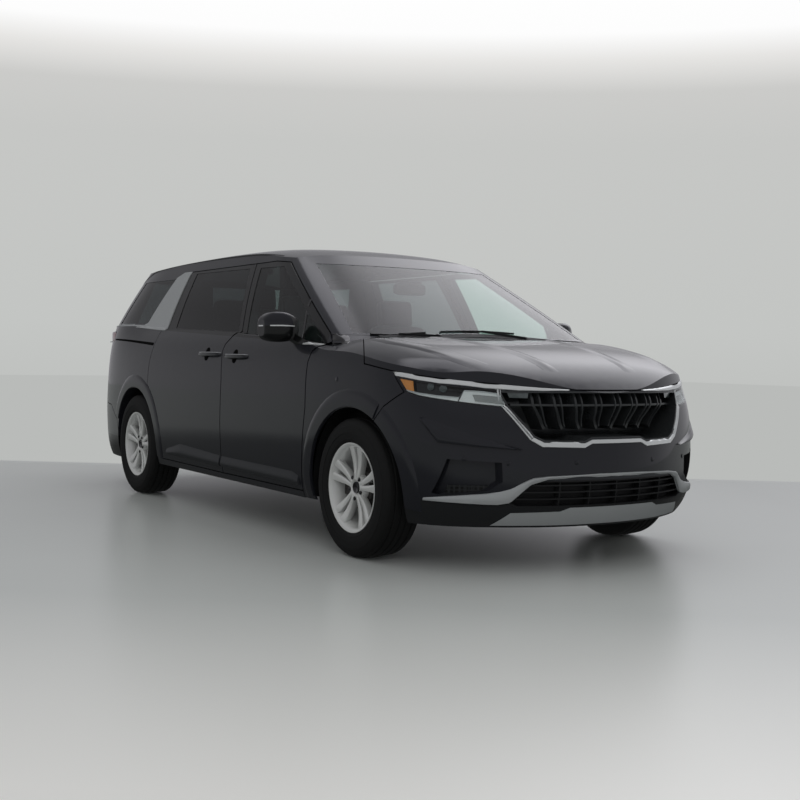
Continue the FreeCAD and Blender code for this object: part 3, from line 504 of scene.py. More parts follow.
def hexagon_mesh():
    """Black moulded mesh with cells about 18 mm across; the open cells are painted near black as the
    shade seen through them.
    """
    material, tree, shader = new_material("moulded_cell_mesh", Roughness=0.4)
    cells = add_node(tree, "ShaderNodeTexVoronoi", {"Vector": object_point(tree),
                                                    "Scale": 1000.0 / 18.0, "Randomness": 0.1},
                     feature="DISTANCE_TO_EDGE")
    # Painted shade: the cells' middles are near black for the dark behind the openings; the ribs
    # between them keep the plastic's dark grey.
    ramp = add_node(tree, "ShaderNodeValToRGB", {"Fac": cells.outputs["Distance"]})
    ramp.color_ramp.elements[0].position = 0.08
    ramp.color_ramp.elements[0].color = linear("#26282a")
    ramp.color_ramp.elements[1].position = 0.16
    ramp.color_ramp.elements[1].color = linear("#050506")
    tree.links.new(ramp.outputs["Color"], shader.inputs["Base Color"])
    bump = add_node(tree, "ShaderNodeBump", {"Height": cells.outputs["Distance"],
                                             "Strength": 0.8, "Distance": 0.002}, invert=True)
    tree.links.new(bump.outputs["Normal"], shader.inputs["Normal"])
    return material


FINISHES = {
    "body_paint": metallic_paint, "clear_glass": clear_glass, "privacy_glass": privacy_glass,
    "lamp_lens": lamp_glass, "silver_plastic": satin_silver, "black_plastic": moulded_black,
    "gloss_black": gloss_black, "chassis_paint": chassis_black, "iron": cast_iron,
    "steel": exhaust_steel, "seat_fabric": seat_cloth, "tyre": tyre_rubber, "alloy": wheel_alloy,
    "chrome": chrome, "satin_paint": satin_paint, "satin_chrome": satin_chrome,
    "amber_lens": amber_lens, "lamp_white": lamp_white, "red_lens": red_lens,
    "hexagon_mesh": hexagon_mesh, "front_bumper_paint": front_bumper_paint,
    "rear_bumper_paint": rear_bumper_paint, "mirror_paint": mirror_paint,
    "plain_paint": plain_paint, "soft_black": soft_black,
    "mirror_silver": mirror_silver, "painted_shade_black": painted_shade_black, "lamp_cells": lamp_cells,
    "moulded_black": moulded_black, "grille_black": grille_black, "smoked_optics": smoked_optics,
}
NODE_FINISHES = {"front_bumper": "front_bumper_paint", "rear_bumper": "rear_bumper_paint",
                 "mirror_left": "mirror_paint", "mirror_right": "mirror_paint",
                 "hood": "plain_paint", "fenders": "plain_paint", "grille": "grille_black",
                 "headlamp_housings": "gloss_black"}
made = {}


def finish(slot):
    """The material of a slot, made once."""
    if slot not in made:
        made[slot] = FINISHES[slot]()
    return made[slot]


# Shapes that lie on the bodywork

SHELL = ("body_shell", "fenders", "front_bumper", "rear_bumper", "hood", "front_door_left",
         "front_door_right", "sliding_doors", "tailgate")
GLAZING = ("windscreen", "front_door_glass_left", "front_door_glass_right", "sliding_door_glass",
           "quarter_glass", "tailgate_glass")
trees = {}


def is_outward(face):
    """True for the faces of the bodywork that look away from the cabin."""
    normal = face.normal
    centre = face.calc_center_median()
    side = normal.y * (1 if centre.y > 0 else -1)
    end = normal.x * (1 if centre.x > 0 else -1)
    return side > 0.12 or normal.z > 0.25 or (end > 0.3 and abs(centre.x) > 1.3)


def surface_tree(names):
    """A search tree of the outward faces of some CAD nodes."""
    if names not in trees:
        bm = bmesh.new()
        for name in names:
            if name in NODES:
                bm.from_mesh(NODES[name].data)
        bmesh.ops.remove_doubles(bm, verts=bm.verts, dist=0.02 * MM)
        bm.normal_update()
        if "mirror_right" not in names:
            inner = [face for face in bm.faces if not is_outward(face)]
            bmesh.ops.delete(bm, geom=inner, context="FACES")
        trees[names] = BVHTree.FromBMesh(bm)
        bm.free()
    return trees[names]


def cast(start, direction, names=SHELL):
    """The point where a ray meets the bodywork. A ray that falls into a shut gap tries beside it."""
    direction = Vector(direction)
    across = direction.yzx
    other = direction.zxy
    for reach in (0, 5, 10, 16, 24, 36, 50, 70):
        for a, b in ((0, 0), (1, 0), (-1, 0), (0, 1), (0, -1), (1, 1), (-1, -1), (1, -1), (-1, 1)):
            shift = across * (a * reach) + other * (b * reach)
            hit = surface_tree(names).ray_cast((Vector(start) + shift) * MM, direction)
            if hit[0] is not None:
                return hit[0] / MM - shift
    raise RuntimeError(f"no surface below {start}")


def side(x, z, names=SHELL):
    """The point of the right flank at x and z, in millimetres."""
    return cast((x, -3000, z), (0, 1, 0), names)


def front(y, z, names=SHELL):
    """The foremost point of the bodywork at y and z, in millimetres."""
    return cast((4000, y, z), (-1, 0, 0), names)


def rear(y, z, names=SHELL):
    """The rearmost point of the bodywork at y and z, in millimetres."""
    return cast((-4000, y, z), (1, 0, 0), names)


def above(x, y, names=SHELL):
    """The highest point of the bodywork at x and y, in millimetres."""
    return cast((x, y, 4000), (0, 0, -1), names)


def at(x, y, z):
    """A point in millimetres."""
    return Vector((x, y, z))


def link(name, bm, material, body, smooth=35.0):
    """Makes the finished object of a mesh, which rides on a CAD body."""
    mesh = bpy.data.meshes.new(name)
    bm.to_mesh(mesh)
    bm.free()
    mesh.shade_smooth()
    mesh.set_sharp_from_angle(angle=math.radians(smooth))
    obj = bpy.data.objects.new(name, mesh)
    bpy.context.scene.collection.objects.link(obj)
    mesh.materials.append(finish(material))
    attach(obj, body)
    return obj


def both_sides(bm):
    """Adds the mirror image over the vehicle's middle."""
    copy = bmesh.ops.duplicate(bm, geom=bm.verts[:] + bm.edges[:] + bm.faces[:])["geom"]
    verts = [item for item in copy if isinstance(item, bmesh.types.BMVert)]
    faces = [item for item in copy if isinstance(item, bmesh.types.BMFace)]
    bmesh.ops.scale(bm, vec=(1, -1, 1), verts=verts)
    bmesh.ops.reverse_faces(bm, faces=faces)


def flipped(bm):
    """Turns a mesh into its mirror image over the vehicle's middle."""
    bmesh.ops.scale(bm, vec=(1, -1, 1), verts=bm.verts)
    bmesh.ops.reverse_faces(bm, faces=bm.faces)


def stations(rail_a, rail_b, step):
    """Matching points along two rails, no further apart than step."""
    pairs = []
    for index in range(len(rail_a) - 1):
        a0, a1 = rail_a[index], rail_a[index + 1]
        b0, b1 = rail_b[index], rail_b[index + 1]
        count = max(1, math.ceil(max((a1 - a0).length, (b1 - b0).length) / step))
        for part in range(count):
            pairs.append((a0.lerp(a1, part / count), b0.lerp(b1, part / count)))
    pairs.append((rail_a[-1], rail_b[-1]))
    return pairs


def skin_mesh(rail_a, rail_b, rise=3.0, heights=None, step=25.0, rows=4, names=SHELL, sink=2.0,
              ends=(True, True), edge=2.0, taper=(0.0, 0.0)):
    """A raised skin between two rails that follows the bodywork, with rounded edges. Its rise
    fades out over the shares of its length in taper."""
    pairs = stations(rail_a, rail_b, step)
    if ends[0]:
        first = pairs[0]
        pairs.insert(1, tuple(p.lerp(q, min(0.4, edge / max(1e-6, (q - p).length)))
                              for p, q in zip(first, pairs[1])))
    if ends[1]:
        pairs.insert(-1, tuple(p.lerp(q, min(0.4, edge / max(1e-6, (q - p).length)))
                               for p, q in zip(pairs[-1], pairs[-2])))
    width = max((a - b).length for a, b in pairs)
    share = min(0.2, edge / width)
    if heights is None:
        shares = [0, share * 0.35, share] + [share + (1 - 2 * share) * k / rows
                                             for k in range(1, rows)]
        shares += [1 - share, 1 - share * 0.35, 1]
        lifts = [-sink, rise * 0.65] + [rise] * (rows + 1) + [rise * 0.65, -sink]
    else:
        shares = [0] + [share + (1 - 2 * share) * k / (len(heights) - 1)
                        for k in range(len(heights))] + [1]
        lifts = [-sink] + list(heights) + [-sink]
    tree = surface_tree(names)
    bm = bmesh.new()
    across = len(shares) - 1
    along = len(pairs) - 1
    bmesh.ops.create_grid(bm, x_segments=along, y_segments=across, size=0.5)
    for vert in bm.verts:
        i = round((vert.co.x + 0.5) * along)
        j = round((vert.co.y + 0.5) * across)
        a, b = pairs[i]
        guess = a.lerp(b, shares[j]) * MM
        spot, normal = tree.find_nearest(guess)[:2]
        lift = lifts[j]
        if lift > 0 and taper[0] > 0:
            lift *= min(1.0, i / along / taper[0])
        if lift > 0 and taper[1] > 0:
            lift *= min(1.0, (1 - i / along) / taper[1])
        if (i == 0 and ends[0]) or (i == along and ends[1]):
            lift = -sink
        vert.co = spot + normal * lift * MM
    bm.normal_update()
    middle = bm.faces[:][len(bm.faces) // 2]
    normal = tree.find_nearest(middle.calc_center_median())[1]
    if middle.normal.dot(normal) < 0:
        bmesh.ops.reverse_faces(bm, faces=bm.faces)
    return bm


def mapped(columns, rows, place, outward):
    """A grid whose corners come from place(i, j) in mm and whose faces look along outward."""
    bm = bmesh.new()
    bmesh.ops.create_grid(bm, x_segments=columns, y_segments=rows, size=0.5)
    for vert in bm.verts:
        i = round((vert.co.x + 0.5) * columns)
        j = round((vert.co.y + 0.5) * rows)
        vert.co = place(i, j) * MM
    bm.normal_update()
    total = Vector((0, 0, 0))
    for face in bm.faces:
        total += face.normal * face.calc_area()
    if total.dot(Vector(outward)) < 0:
        bmesh.ops.reverse_faces(bm, faces=bm.faces)
    return bm


def path_point(points, share):
    """The point at a share of the length of a line through points."""
    lengths = [(b - a).length for a, b in zip(points, points[1:])]
    left = share * sum(lengths)
    for a, b, length in zip(points, points[1:], lengths):
        if left <= length:
            return a.lerp(b, left / length)
        left -= length
    return points[-1].copy()


def joined(meshes):
    """One bmesh of several."""
    total = bmesh.new()
    for bm in meshes:
        mesh = bpy.data.meshes.new("part")
        bm.to_mesh(mesh)
        bm.free()
        total.from_mesh(mesh)
        bpy.data.meshes.remove(mesh)
    return total


def trim(name, slot, *skins, body="body", mirror=True, smooth=35.0):
    """A piece made of one or more skins, on one body or on each front door."""
    bm = joined(skins)
    if body != "front_door":
        if mirror:
            both_sides(bm)
        return [link(name, bm, slot, body, smooth)]
    left = bm.copy()
    flipped(left)
    return [link(name + "_right", bm, slot, "front_door_right", smooth),
            link(name + "_left", left, slot, "front_door_left", smooth)]


def rounded_box(low, high, radius=3.0, segments=2):
    """A box with rounded edges between two corners in millimetres."""
    bm = bmesh.new()
    bmesh.ops.create_cube(bm, size=1.0)
    size = Vector(high) - Vector(low)
    bmesh.ops.scale(bm, vec=size * MM, verts=bm.verts)
    bmesh.ops.translate(bm, vec=(Vector(low) + size / 2) * MM, verts=bm.verts)
    if radius > 0:
        bmesh.ops.bevel(bm, geom=bm.edges[:], offset=radius * MM, affect="EDGES",
                        segments=segments, profile=0.5, material=-1)
    return bm


def disc(centre, axis, radius, depth, bevel=1.0, count=24):
    """A short round pin along an axis, with a rounded rim."""
    bm = bmesh.new()
    bmesh.ops.create_cone(bm, cap_ends=True, segments=count, radius1=radius * MM,
                          radius2=radius * MM, depth=depth * MM)
    if bevel > 0:
        rims = [edge for edge in bm.edges if abs(edge.verts[0].co.z - edge.verts[1].co.z) < 1e-7]
        bmesh.ops.bevel(bm, geom=rims, offset=bevel * MM, affect="EDGES", segments=2, profile=0.5,
                        material=-1)
    turn = Vector((0, 0, 1)).rotation_difference(Vector(axis)).to_matrix()
    bmesh.ops.rotate(bm, matrix=turn, verts=bm.verts)
    bmesh.ops.translate(bm, vec=Vector(centre) * MM, verts=bm.verts)
    return bm


class MINIVAN_OT_finishes(bpy.types.Operator):
    """Give every CAD node its finish"""

    bl_idname = "minivan.finishes"
    bl_label = "Finishes"

    def execute(self, context):
        for part in frame["record"]["subparts"]:
            obj = NODES[part["node"]]
            slot_name = NODE_FINISHES.get(part["node"], part["material_slot"])
            material = finish(slot_name)
            for slot in obj.material_slots:
                slot.material = material
        return {"FINISHED"}


class MINIVAN_OT_side_trim(bpy.types.Operator):
    """Pillar garnish, door handles, painted shade in the slide rail slots and handle cups, step
    mouldings and wheel arch flares
    """

    bl_idname = "minivan.side_trim"
    bl_label = "Side trim"

    def execute(self, context):
        strip = skin_mesh([side(-2206, 1224), side(-1480, 1205), side(-1090, 1186)],
                          [side(-2206, 1240), side(-1530, 1232), side(-1160, 1226)], rise=5)
        blade = skin_mesh([side(-1083, 1187), side(-1073, 1225), side(-1025, 1510),
                           side(-1006, 1606)],
                          [side(-1575, 1228), side(-1488, 1252), side(-1240, 1572),
                           side(-1125, 1606)], rise=6, names=SHELL + GLAZING)
        trim("pillar_garnish", "silver_plastic", strip, blade)
        # Painted shade: a near-black strip laid along the sliding door's rail slot.
        slot = skin_mesh([side(-2120, 1118), side(-1182, 1081)],
                         [side(-2120, 1129), side(-1182, 1102)], rise=0.6, sink=1, edge=0.8)
        trim("rail_slot_shade", "painted_shade_black", slot)

        def cup(x, z):
            """A near-black disc laid on the door behind a handle: painted shade of the hollow there.
            """
            bm = disc((0, 0, 0), (0, 0, 1), 34, 2, bevel=0, count=28)
            for vert in bm.verts:
                spot = side(x + vert.co.x / MM, z + vert.co.y / MM * 1.25)
                vert.co = spot * MM + Vector((0, -0.0016 if vert.co.z > 0 else 0.001, 0))
            bmesh.ops.recalc_face_normals(bm, faces=bm.faces)
            return bm

        def handle(x0, x1, z, height, out, thick):
            """A grip that stands off the door on its two feet."""
            bm = bmesh.new()
            count = 14
            bmesh.ops.create_grid(bm, x_segments=count, y_segments=8, size=0.5)
            for vert in bm.verts:
                t = vert.co.x + 0.5
                angle = (vert.co.y + 0.5) * 2 * math.pi
                x = x0 + (x1 - x0) * t
                bow = math.sin(math.pi * t) ** 0.35
                swell = 0.35 + 0.65 * math.sin(math.pi * min(1, max(0, t))) ** 0.3
                base = side(x, z)
                vert.co = Vector((x, base.y - out * bow - thick * math.cos(angle) * swell,
                                  z + height * math.sin(angle) * swell)) * MM
            bmesh.ops.remove_doubles(bm, verts=bm.verts, dist=0.00001)
            bmesh.ops.holes_fill(bm, edges=[e for e in bm.edges if e.is_boundary], sides=0)
            bmesh.ops.recalc_face_normals(bm, faces=bm.faces)
            return bm

        trim("rear_handle_cup_shades", "painted_shade_black", cup(-195, 1030))
        trim("rear_handles", "plain_paint", handle(-318, 18, 1028, 12, 20, 9))
        trim("rear_handle_strips", "chrome", handle(-314, 14, 1040, 4.5, 27, 5))
        trim("front_handle_cup_shade", "painted_shade_black", cup(227, 1020), body="front_door")
        trim("front_handle", "plain_paint", handle(90, 412, 1018, 12, 20, 9), body="front_door")
        trim("front_handle_strip", "chrome", handle(94, 408, 1030, 4.5, 27, 5), body="front_door")

        slope = (0.5, 3, 7, 11, 14, 14, 9)
        rear_step = skin_mesh([side(-850, 372), side(-597, 424), side(42, 398)],
                              [side(-835, 340), side(-597, 338), side(42, 330)],
                              heights=slope, sink=3)
        front_step = skin_mesh([side(62, 397), side(1011, 390), side(1080, 372)],
                               [side(62, 330), side(1011, 320), side(1092, 318)],
                               heights=slope, sink=3)
        trim("rear_step_moulding", "satin_paint", rear_step)
        trim("front_step_moulding", "satin_paint", front_step, body="front_door")

        def flare(axle_x, start, end, count=16):
            """A raised lip round a wheel arch, between two angles about the axle."""
            turns = [math.radians(start + (end - start) * index / count)
                     for index in range(count + 1)]
            inner, outer = ([side(axle_x + reach * math.cos(turn),
                                  AXLE_HEIGHT + reach * math.sin(turn)) for turn in turns]
                            for reach in (ARCH_INNER, ARCH_OUTER))
            return skin_mesh(outer, inner, heights=(0.4, 5, 6.5, 6.5, 6.5, 6.5, 6), step=40,
                             sink=1.5)

        trim("front_flares", "plain_paint", flare(FRONT_AXLE, 60.5, 192), flare(FRONT_AXLE, -8, 57))
        trim("rear_flares", "plain_paint", flare(REAR_AXLE, -8, 157))
        return {"FINISHED"}


class MINIVAN_OT_nose(bpy.types.Operator):
    """Bright strip, grille surround, wing, sensors and the bumper's lower parts"""

    bl_idname = "minivan.nose"
    bl_label = "Nose"

    def execute(self, context):
        upper = [side(1962, 963), side(2110, 946), side(2192, 935), side(2330, 916),
                 side(2400, 905), side(2440, 899), side(2474, 893)]
        lower = [side(1984, 944), side(2110, 926), side(2192, 914), side(2330, 895),
                 side(2400, 887), side(2446, 886), side(2476, 888)]
        trim("lamp_strip", "satin_chrome", skin_mesh(upper, lower, rise=4))

        bumper = ("front_bumper",)
        inner = [(-590, 876), (-568, 806), (-464, 668), (-414, 643), (-201, 639), (-159, 656),
                 (0, 656)]
        outer = [(-606, 872), (-585, 800), (-479, 653), (-424, 620), (-206, 614), (-163, 634),
                 (0, 634)]
        low = [(-464, 668), (-414, 643), (-201, 639), (-159, 656), (0, 656), (159, 656),
               (201, 639), (414, 643), (464, 668)]
        low_out = [(-479, 653), (-424, 620), (-206, 614), (-163, 634), (0, 634), (163, 634),
                   (206, 614), (424, 620), (479, 653)]
        bottom = skin_mesh([front(y, z - 1.5, bumper) for y, z in low],
                           [front(y, z, bumper) for y, z in low_out], rise=7, names=bumper)
        trim("grille_surround", "satin_chrome", bottom, mirror=False)
        sides = []
        for a, b, rise in ((0.0, 0.34, 6), (0.42, 0.52, 3), (0.6, 1.0, 6)):
            rail_a = [front(p[0] + (q[0] - p[0]) * a, p[1] + (q[1] - p[1]) * a - 1, bumper)
                      for p, q in zip(inner[:3], outer[:3])]
            rail_b = [front(p[0] + (q[0] - p[0]) * b, p[1] + (q[1] - p[1]) * b - 1, bumper)
                      for p, q in zip(inner[:3], outer[:3])]
            sides.append(skin_mesh(rail_a, rail_b, rise=rise, rows=2, names=bumper, edge=1.2))
        trim("grille_side_strips", "satin_chrome", *sides)

        top = [at(2174, -884, 366), at(2262, -824, 379), at(2340, -748, 390), at(2392, -672, 398),
               at(2420, -618, 408), at(2450, -556, 430), at(2500, -478, 472), at(2530, -400, 481),
               at(2574, -117, 490), at(2577, 0, 490)]
        base = [at(2170, -886, 352), at(2262, -828, 350), at(2340, -752, 347), at(2392, -676, 344),
                at(2420, -624, 343), at(2446, -570, 352), at(2494, -484, 440), at(2526, -402, 466),
                at(2572, -117, 472), at(2575, 0, 472)]
        foremost = CAD_BOX[1][0] / MM - 0.05
        share_lift = ((0, -14), (0.02, -1), (0.08, 3), (0.35, 5), (0.6, 3.5), (0.92, 1.5),
                      (0.98, -1), (1, -14))
        count = 60

        def wing(i, j):
            a = path_point(top, i / count)
            b = path_point(base, i / count)
            share, lift = share_lift[j]
            along = path_point(top, min(1, i / count + 0.01)) - path_point(
                top, max(0, i / count - 0.01))
            out = along.cross(Vector((0, 0, 1))).normalized()
            if out.x < 0:
                out = -out
            spot = a.lerp(b, share) + out * lift
            spot.x = min(spot.x, foremost)
            return spot

        trim("lower_wing", "silver_plastic", mapped(count, len(share_lift) - 1, wing, (1, -0.5, 0)))

        pins = [disc(p, (0.75, -0.65, 0), 12, 3, count=20) for p in
                (front(-584, 542), front(-760, 560))]
        flank = side(1498, 915)
        pins.append(disc(flank, (0, -1, 0.1), 13, 3, count=20))
        pins.append(disc(front(-250, 545), (1, -0.1, 0), 12, 3, count=20))
        trim("parking_sensors", "plain_paint", *pins)

        facet = skin_mesh([side(2152, 752), side(2251, 722), at(2365, -695, 662),
                           at(2463, -519, 611)],
                          [side(2150, 745), side(2236, 634), at(2350, -690, 616),
                           at(2463, -519, 606)],
                          heights=(0.3, 3.5, 7.5, 11.5, 15, 16.5, 13), sink=1.0, step=15)
        trim("bumper_crease", "plain_paint", facet)

        corners = (at(2272, -818, 430), at(2404, -652, 431), at(2261, -824, 384),
                   at(2384, -678, 386))
        inward = Vector((-0.77, 0.64, 0)) * 40

        def grid(i, j):
            high = corners[0].lerp(corners[1], i / 12)
            low = corners[2].lerp(corners[3], i / 12)
            return high.lerp(low, j / 4) + inward

        mesh = mapped(12, 4, grid, (0.8, -0.6, 0))
        trim("fog_mesh", "hexagon_mesh", mesh)

        lamp = (at(2374, -556, 894), at(2424, -452, 892), at(2382, -538, 852), at(2426, -460, 851))

        def face(i, j):
            high = lamp[0].lerp(lamp[1], i / 8)
            low = lamp[2].lerp(lamp[3], i / 8)
            bulge = math.sin(math.pi * i / 8) * math.sin(math.pi * j / 4)
            return high.lerp(low, j / 4) + Vector((0.9, -0.43, 0)) * (3 * bulge - 5)

        trim("grille_corner_lamps", "smoked_optics", mapped(8, 4, face, (0.9, -0.43, 0)))
        return {"FINISHED"}


class MINIVAN_OT_headlamps(bpy.types.Operator):
    """The inside of the headlamps behind their clear lenses"""

    bl_idname = "minivan.headlamps"
    bl_label = "Headlamps"

    def execute(self, context):
        names = ("headlamps",)

        def spot(x, z):
            return side(x, z, names)

        back = skin_mesh([spot(2000, 936), spot(2110, 921), spot(2192, 909), spot(2330, 890),
                          spot(2412, 881)],
                         [spot(2056, 872), spot(2120, 853), spot(2230, 836), spot(2330, 819),
                          spot(2400, 808)], rise=-26, sink=27, names=names)
        trim("lamp_bezel", "gloss_black", back)
        amber = skin_mesh([spot(2002, 933), spot(2078, 924)], [spot(2048, 879), spot(2095, 870)],
                          rise=-6, sink=9, names=names)
        trim("amber_marker", "amber_lens", amber)

        def lamp_line(points, lift):
            return [spot(x, z + lift) for x, z in points]

        low_top = ((2052, 879), (2120, 866), (2200, 856), (2274, 850))
        low_base = ((2060, 868), (2120, 854), (2200, 841), (2276, 829))
        step_top = ((2278, 885), (2330, 880), (2372, 873), (2400, 852), (2413, 836))
        step_base = ((2277, 829), (2330, 820), (2372, 813), (2400, 809), (2409, 807))
        trim("running_lamp", "lamp_white",
             skin_mesh(lamp_line(low_top, 0), lamp_line(low_base, 0), rise=-7, sink=12,
                       names=names, edge=1),
             skin_mesh(lamp_line(step_top, 0), lamp_line(step_base, 0), rise=-7, sink=12,
                       names=names, edge=1))
        outline = low_top + ((2279, 884),) + step_top[1:]
        base_line = low_base + step_base[1:]
        trim("running_lamp_frame", "satin_chrome",
             skin_mesh(lamp_line(outline, 2), lamp_line(outline, -3), rise=-4.8, sink=9,
                       names=names, edge=1),
             skin_mesh(lamp_line(base_line, 3), lamp_line(base_line, 0), rise=-4.8, sink=9,
                       names=names, edge=1))
        cells = skin_mesh([spot(2306, 866), spot(2384, 858)], [spot(2322, 834), spot(2402, 822)],
                          rise=-5.5, sink=9, names=names)
        trim("running_lamp_cells", "lamp_cells", cells)
        parts = []
        for x, z, radius in ((2164, 897, 18), (2212, 889, 19)):
            centre = spot(x, z) + Vector((-16, 16, 0))
            parts.append(disc(centre, (0.72, -0.69, 0), radius, 22, bevel=2))
        trim("lamp_projectors", "smoked_optics", *parts)
        eyes = []
        for x, z, radius in ((2164, 897, 15), (2212, 889, 16)):
            bm = bmesh.new()
            bmesh.ops.create_uvsphere(bm, u_segments=24, v_segments=12, radius=radius * MM)
            bmesh.ops.scale(bm, vec=(1, 1, 0.5), verts=bm.verts)
            turn = Vector((0, 0, 1)).rotation_difference(Vector((0.72, -0.69, 0))).to_matrix()
            bmesh.ops.rotate(bm, matrix=turn, verts=bm.verts)
            centre = spot(x, z) + Vector((-9, 9, 0))
            bmesh.ops.translate(bm, vec=centre * MM, verts=bm.verts)
            eyes.append(bm)
        trim("projector_lenses", "lamp_lens", *eyes)
        return {"FINISHED"}


def spun(points, steps=96):
    """A ring turned about the Y axis from points of distance along it and radius, in mm."""
    bm = bmesh.new()
    verts = [bm.verts.new((0, y * MM, r * MM)) for y, r in points]
    edges = [bm.edges.new(pair) for pair in zip(verts, verts[1:])]
    bmesh.ops.spin(bm, geom=verts + edges, axis=(0, 1, 0), cent=(0, 0, 0), steps=steps,
                   angle=2 * math.pi, use_merge=True)
    bmesh.ops.remove_doubles(bm, verts=bm.verts, dist=0.000001)
    bmesh.ops.recalc_face_normals(bm, faces=bm.faces)
    return bm


class MINIVAN_OT_wheels(bpy.types.Operator):
    """Tyres with tread and alloy wheels with paired spokes"""

    bl_idname = "minivan.wheels"
    bl_label = "Wheels"

    def execute(self, context):
        def tyre():
            """A tyre with four grooves, turned from its half profile."""
            tread = []
            for y in range(-90, 91, 6):
                groove = any(abs(y - middle) < 4 for middle in (-60, -20, 20, 60))
                crown = AXLE_HEIGHT - 5 * (y / 90) ** 2
                tread.append((y, crown - (GROOVE_DEPTH if groove else 0)))
            wall = [(99, 350), (108, 338), (114, 318), (115.5, 317), (116, 311), (117, 300),
                    (117.3, 283), (115.5, 282), (115, 268), (112, 254), (112.8, 252),
                    (109, 240), (102, 232.5), (98, 229)]
            other_wall = [(-y, radius) for y, radius in wall[::-1]]
            return spun(other_wall + tread + wall, 120)

        def blade(turn, offset_in, offset_out):
            """One spoke blade from the hub to the rim at an angle about the axle."""
            bm = bmesh.new()
            bmesh.ops.create_cube(bm, size=2.0)
            for vert in bm.verts:
                far = vert.co.z > 0
                radius = 213 if far else 44
                half = 24 if far else 10
                offset = offset_out if far else offset_in
                depth = (96 if far else 80) if vert.co.y > 0 else (58 if far else 40)
                if vert.co.y < 0:
                    half -= 5
                vert.co = Vector(((offset + half * vert.co.x) * MM, depth * MM, radius * MM))
            long_edges = [e for e in bm.edges
                          if abs(e.verts[0].co.z - e.verts[1].co.z) > 0.1]
            bmesh.ops.subdivide_edges(bm, edges=long_edges, cuts=4)
            for vert in bm.verts:
                share = (vert.co.z / MM - 44) / 169
                vert.co.y -= 10 * MM * math.sin(math.pi * min(1, max(0, share)))
            sharp = [e for e in bm.edges if e.calc_face_angle(0) > 0.6]
            bmesh.ops.bevel(bm, geom=sharp, offset=3.5 * MM, affect="EDGES", segments=2,
                            profile=0.5, material=-1)
            bmesh.ops.rotate(bm, matrix=Matrix.Rotation(turn, 3, "Y"), verts=bm.verts)
            return bm

        def alloy():
            """The rim with its hub and five pairs of spokes."""
            barrel = spun([(106, 232), (106, 226), (103, 220), (97, 213), (88, 208), (40, 196),
                           (-92, 200), (-98, 207), (-106, 226), (-106, 232), (-98, 232),
                           (-96, 219), (-70, 217), (60, 214), (94, 218), (98, 232), (106, 232)])
            hub = spun([(0, 0.5), (0, 66), (60, 68), (76, 60), (80, 44), (76, 38), (70, 34),
                        (70, 0.5)], 64)
            parts = [barrel, hub]
            for index in range(5):
                turn = math.radians(4 + 72 * index)
                parts.append(blade(turn, -10, -40))
                parts.append(blade(turn, 10, 40))
            return joined(parts)

        def fittings():
            """The centre cap and five wheel nuts, all gloss black: on the cap its own colour, on the
            nuts painted shade of the recesses they sit in.
            """
            parts = [spun([(70, 0.5), (78, 20), (79, 28), (74, 31), (60, 31)], 48)]
            for index in range(5):
                turn = math.radians(40 + 72 * index)
                place = (57 * math.sin(turn), 80, 57 * math.cos(turn))
                parts.append(disc(place, (0, 1, 0), 11, 8, bevel=2, count=6))
            return joined(parts)

        def brake():
            """The brake disc."""
            return spun([(-12, 60), (-12, 150), (-10, 152), (12, 152), (14, 150), (14, 96),
                         (34, 92), (36, 60)], 72)

        for end, x in (("front", FRONT_AXLE), ("rear", REAR_AXLE)):
            for hand, sign in (("left", 1), ("right", -1)):
                place = Vector((x, sign * WHEEL_MIDDLE, AXLE_HEIGHT)) * MM
                body = f"wheel_{end}_{hand}"
                # The hub cap and nuts are gloss black; the nuts' black is painted shade of their
                # recesses.
                for label, slot, maker in (("tyre", "tyre", tyre), ("alloy", "alloy", alloy),
                                           ("wheel_nuts", "gloss_black", fittings),
                                           ("brake_disc", "iron", brake)):
                    bm = maker()
                    if sign < 0:
                        flipped(bm)
                    bmesh.ops.translate(bm, vec=place, verts=bm.verts)
                    link(f"{label}_{end}_{hand}_look", bm, slot, body, 30)
                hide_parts(f"tyre_{end}_{hand}")
                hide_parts(f"rim_{end}_{hand}")
        return {"FINISHED"}


def pad(low, high, crown, pinch=0.06, cuts=9, bolster=0.0, channels=()):
    """A crowned closed cushion between two corners in mm. Its sides pull in between the corners,
    its bolsters rise at the sides, and sewn channels cross it at shares of its length."""
    bm = bmesh.new()
    bmesh.ops.create_cube(bm, size=2.0)
    bmesh.ops.subdivide_edges(bm, edges=bm.edges[:], cuts=cuts, use_grid_fill=True)
    centre = (Vector(low) + Vector(high)) / 2
    half = (Vector(high) - Vector(low)) / 2
    for vert in bm.verts:
        x, y, z = vert.co
        round_off = 1 - 0.10 * max(0, (abs(x) ** 6 + abs(y) ** 6 + abs(z) ** 6) - 1)
        px = x * (1 - pinch * (1 - abs(y)) * (1 - abs(z)) * abs(x)) * round_off
        py = y * (1 - pinch * (1 - abs(x)) * (1 - abs(z)) * abs(y)) * round_off
        top = (1 - x * x) * (1 - y * y)
        pz = z * round_off + crown * top * (1 if z > 0 else 0.3) * z
        pz += bolster * max(0, abs(y) - 0.62) * (1 if z > 0 else 0)
        for share in channels:
            pz -= 0.10 * math.exp(-((x - share) / 0.05) ** 2) * max(0, z) * (1 - abs(y) ** 4)
        vert.co = (centre + Vector((px * half.x, py * half.y, pz * half.z))) * MM
    return bm


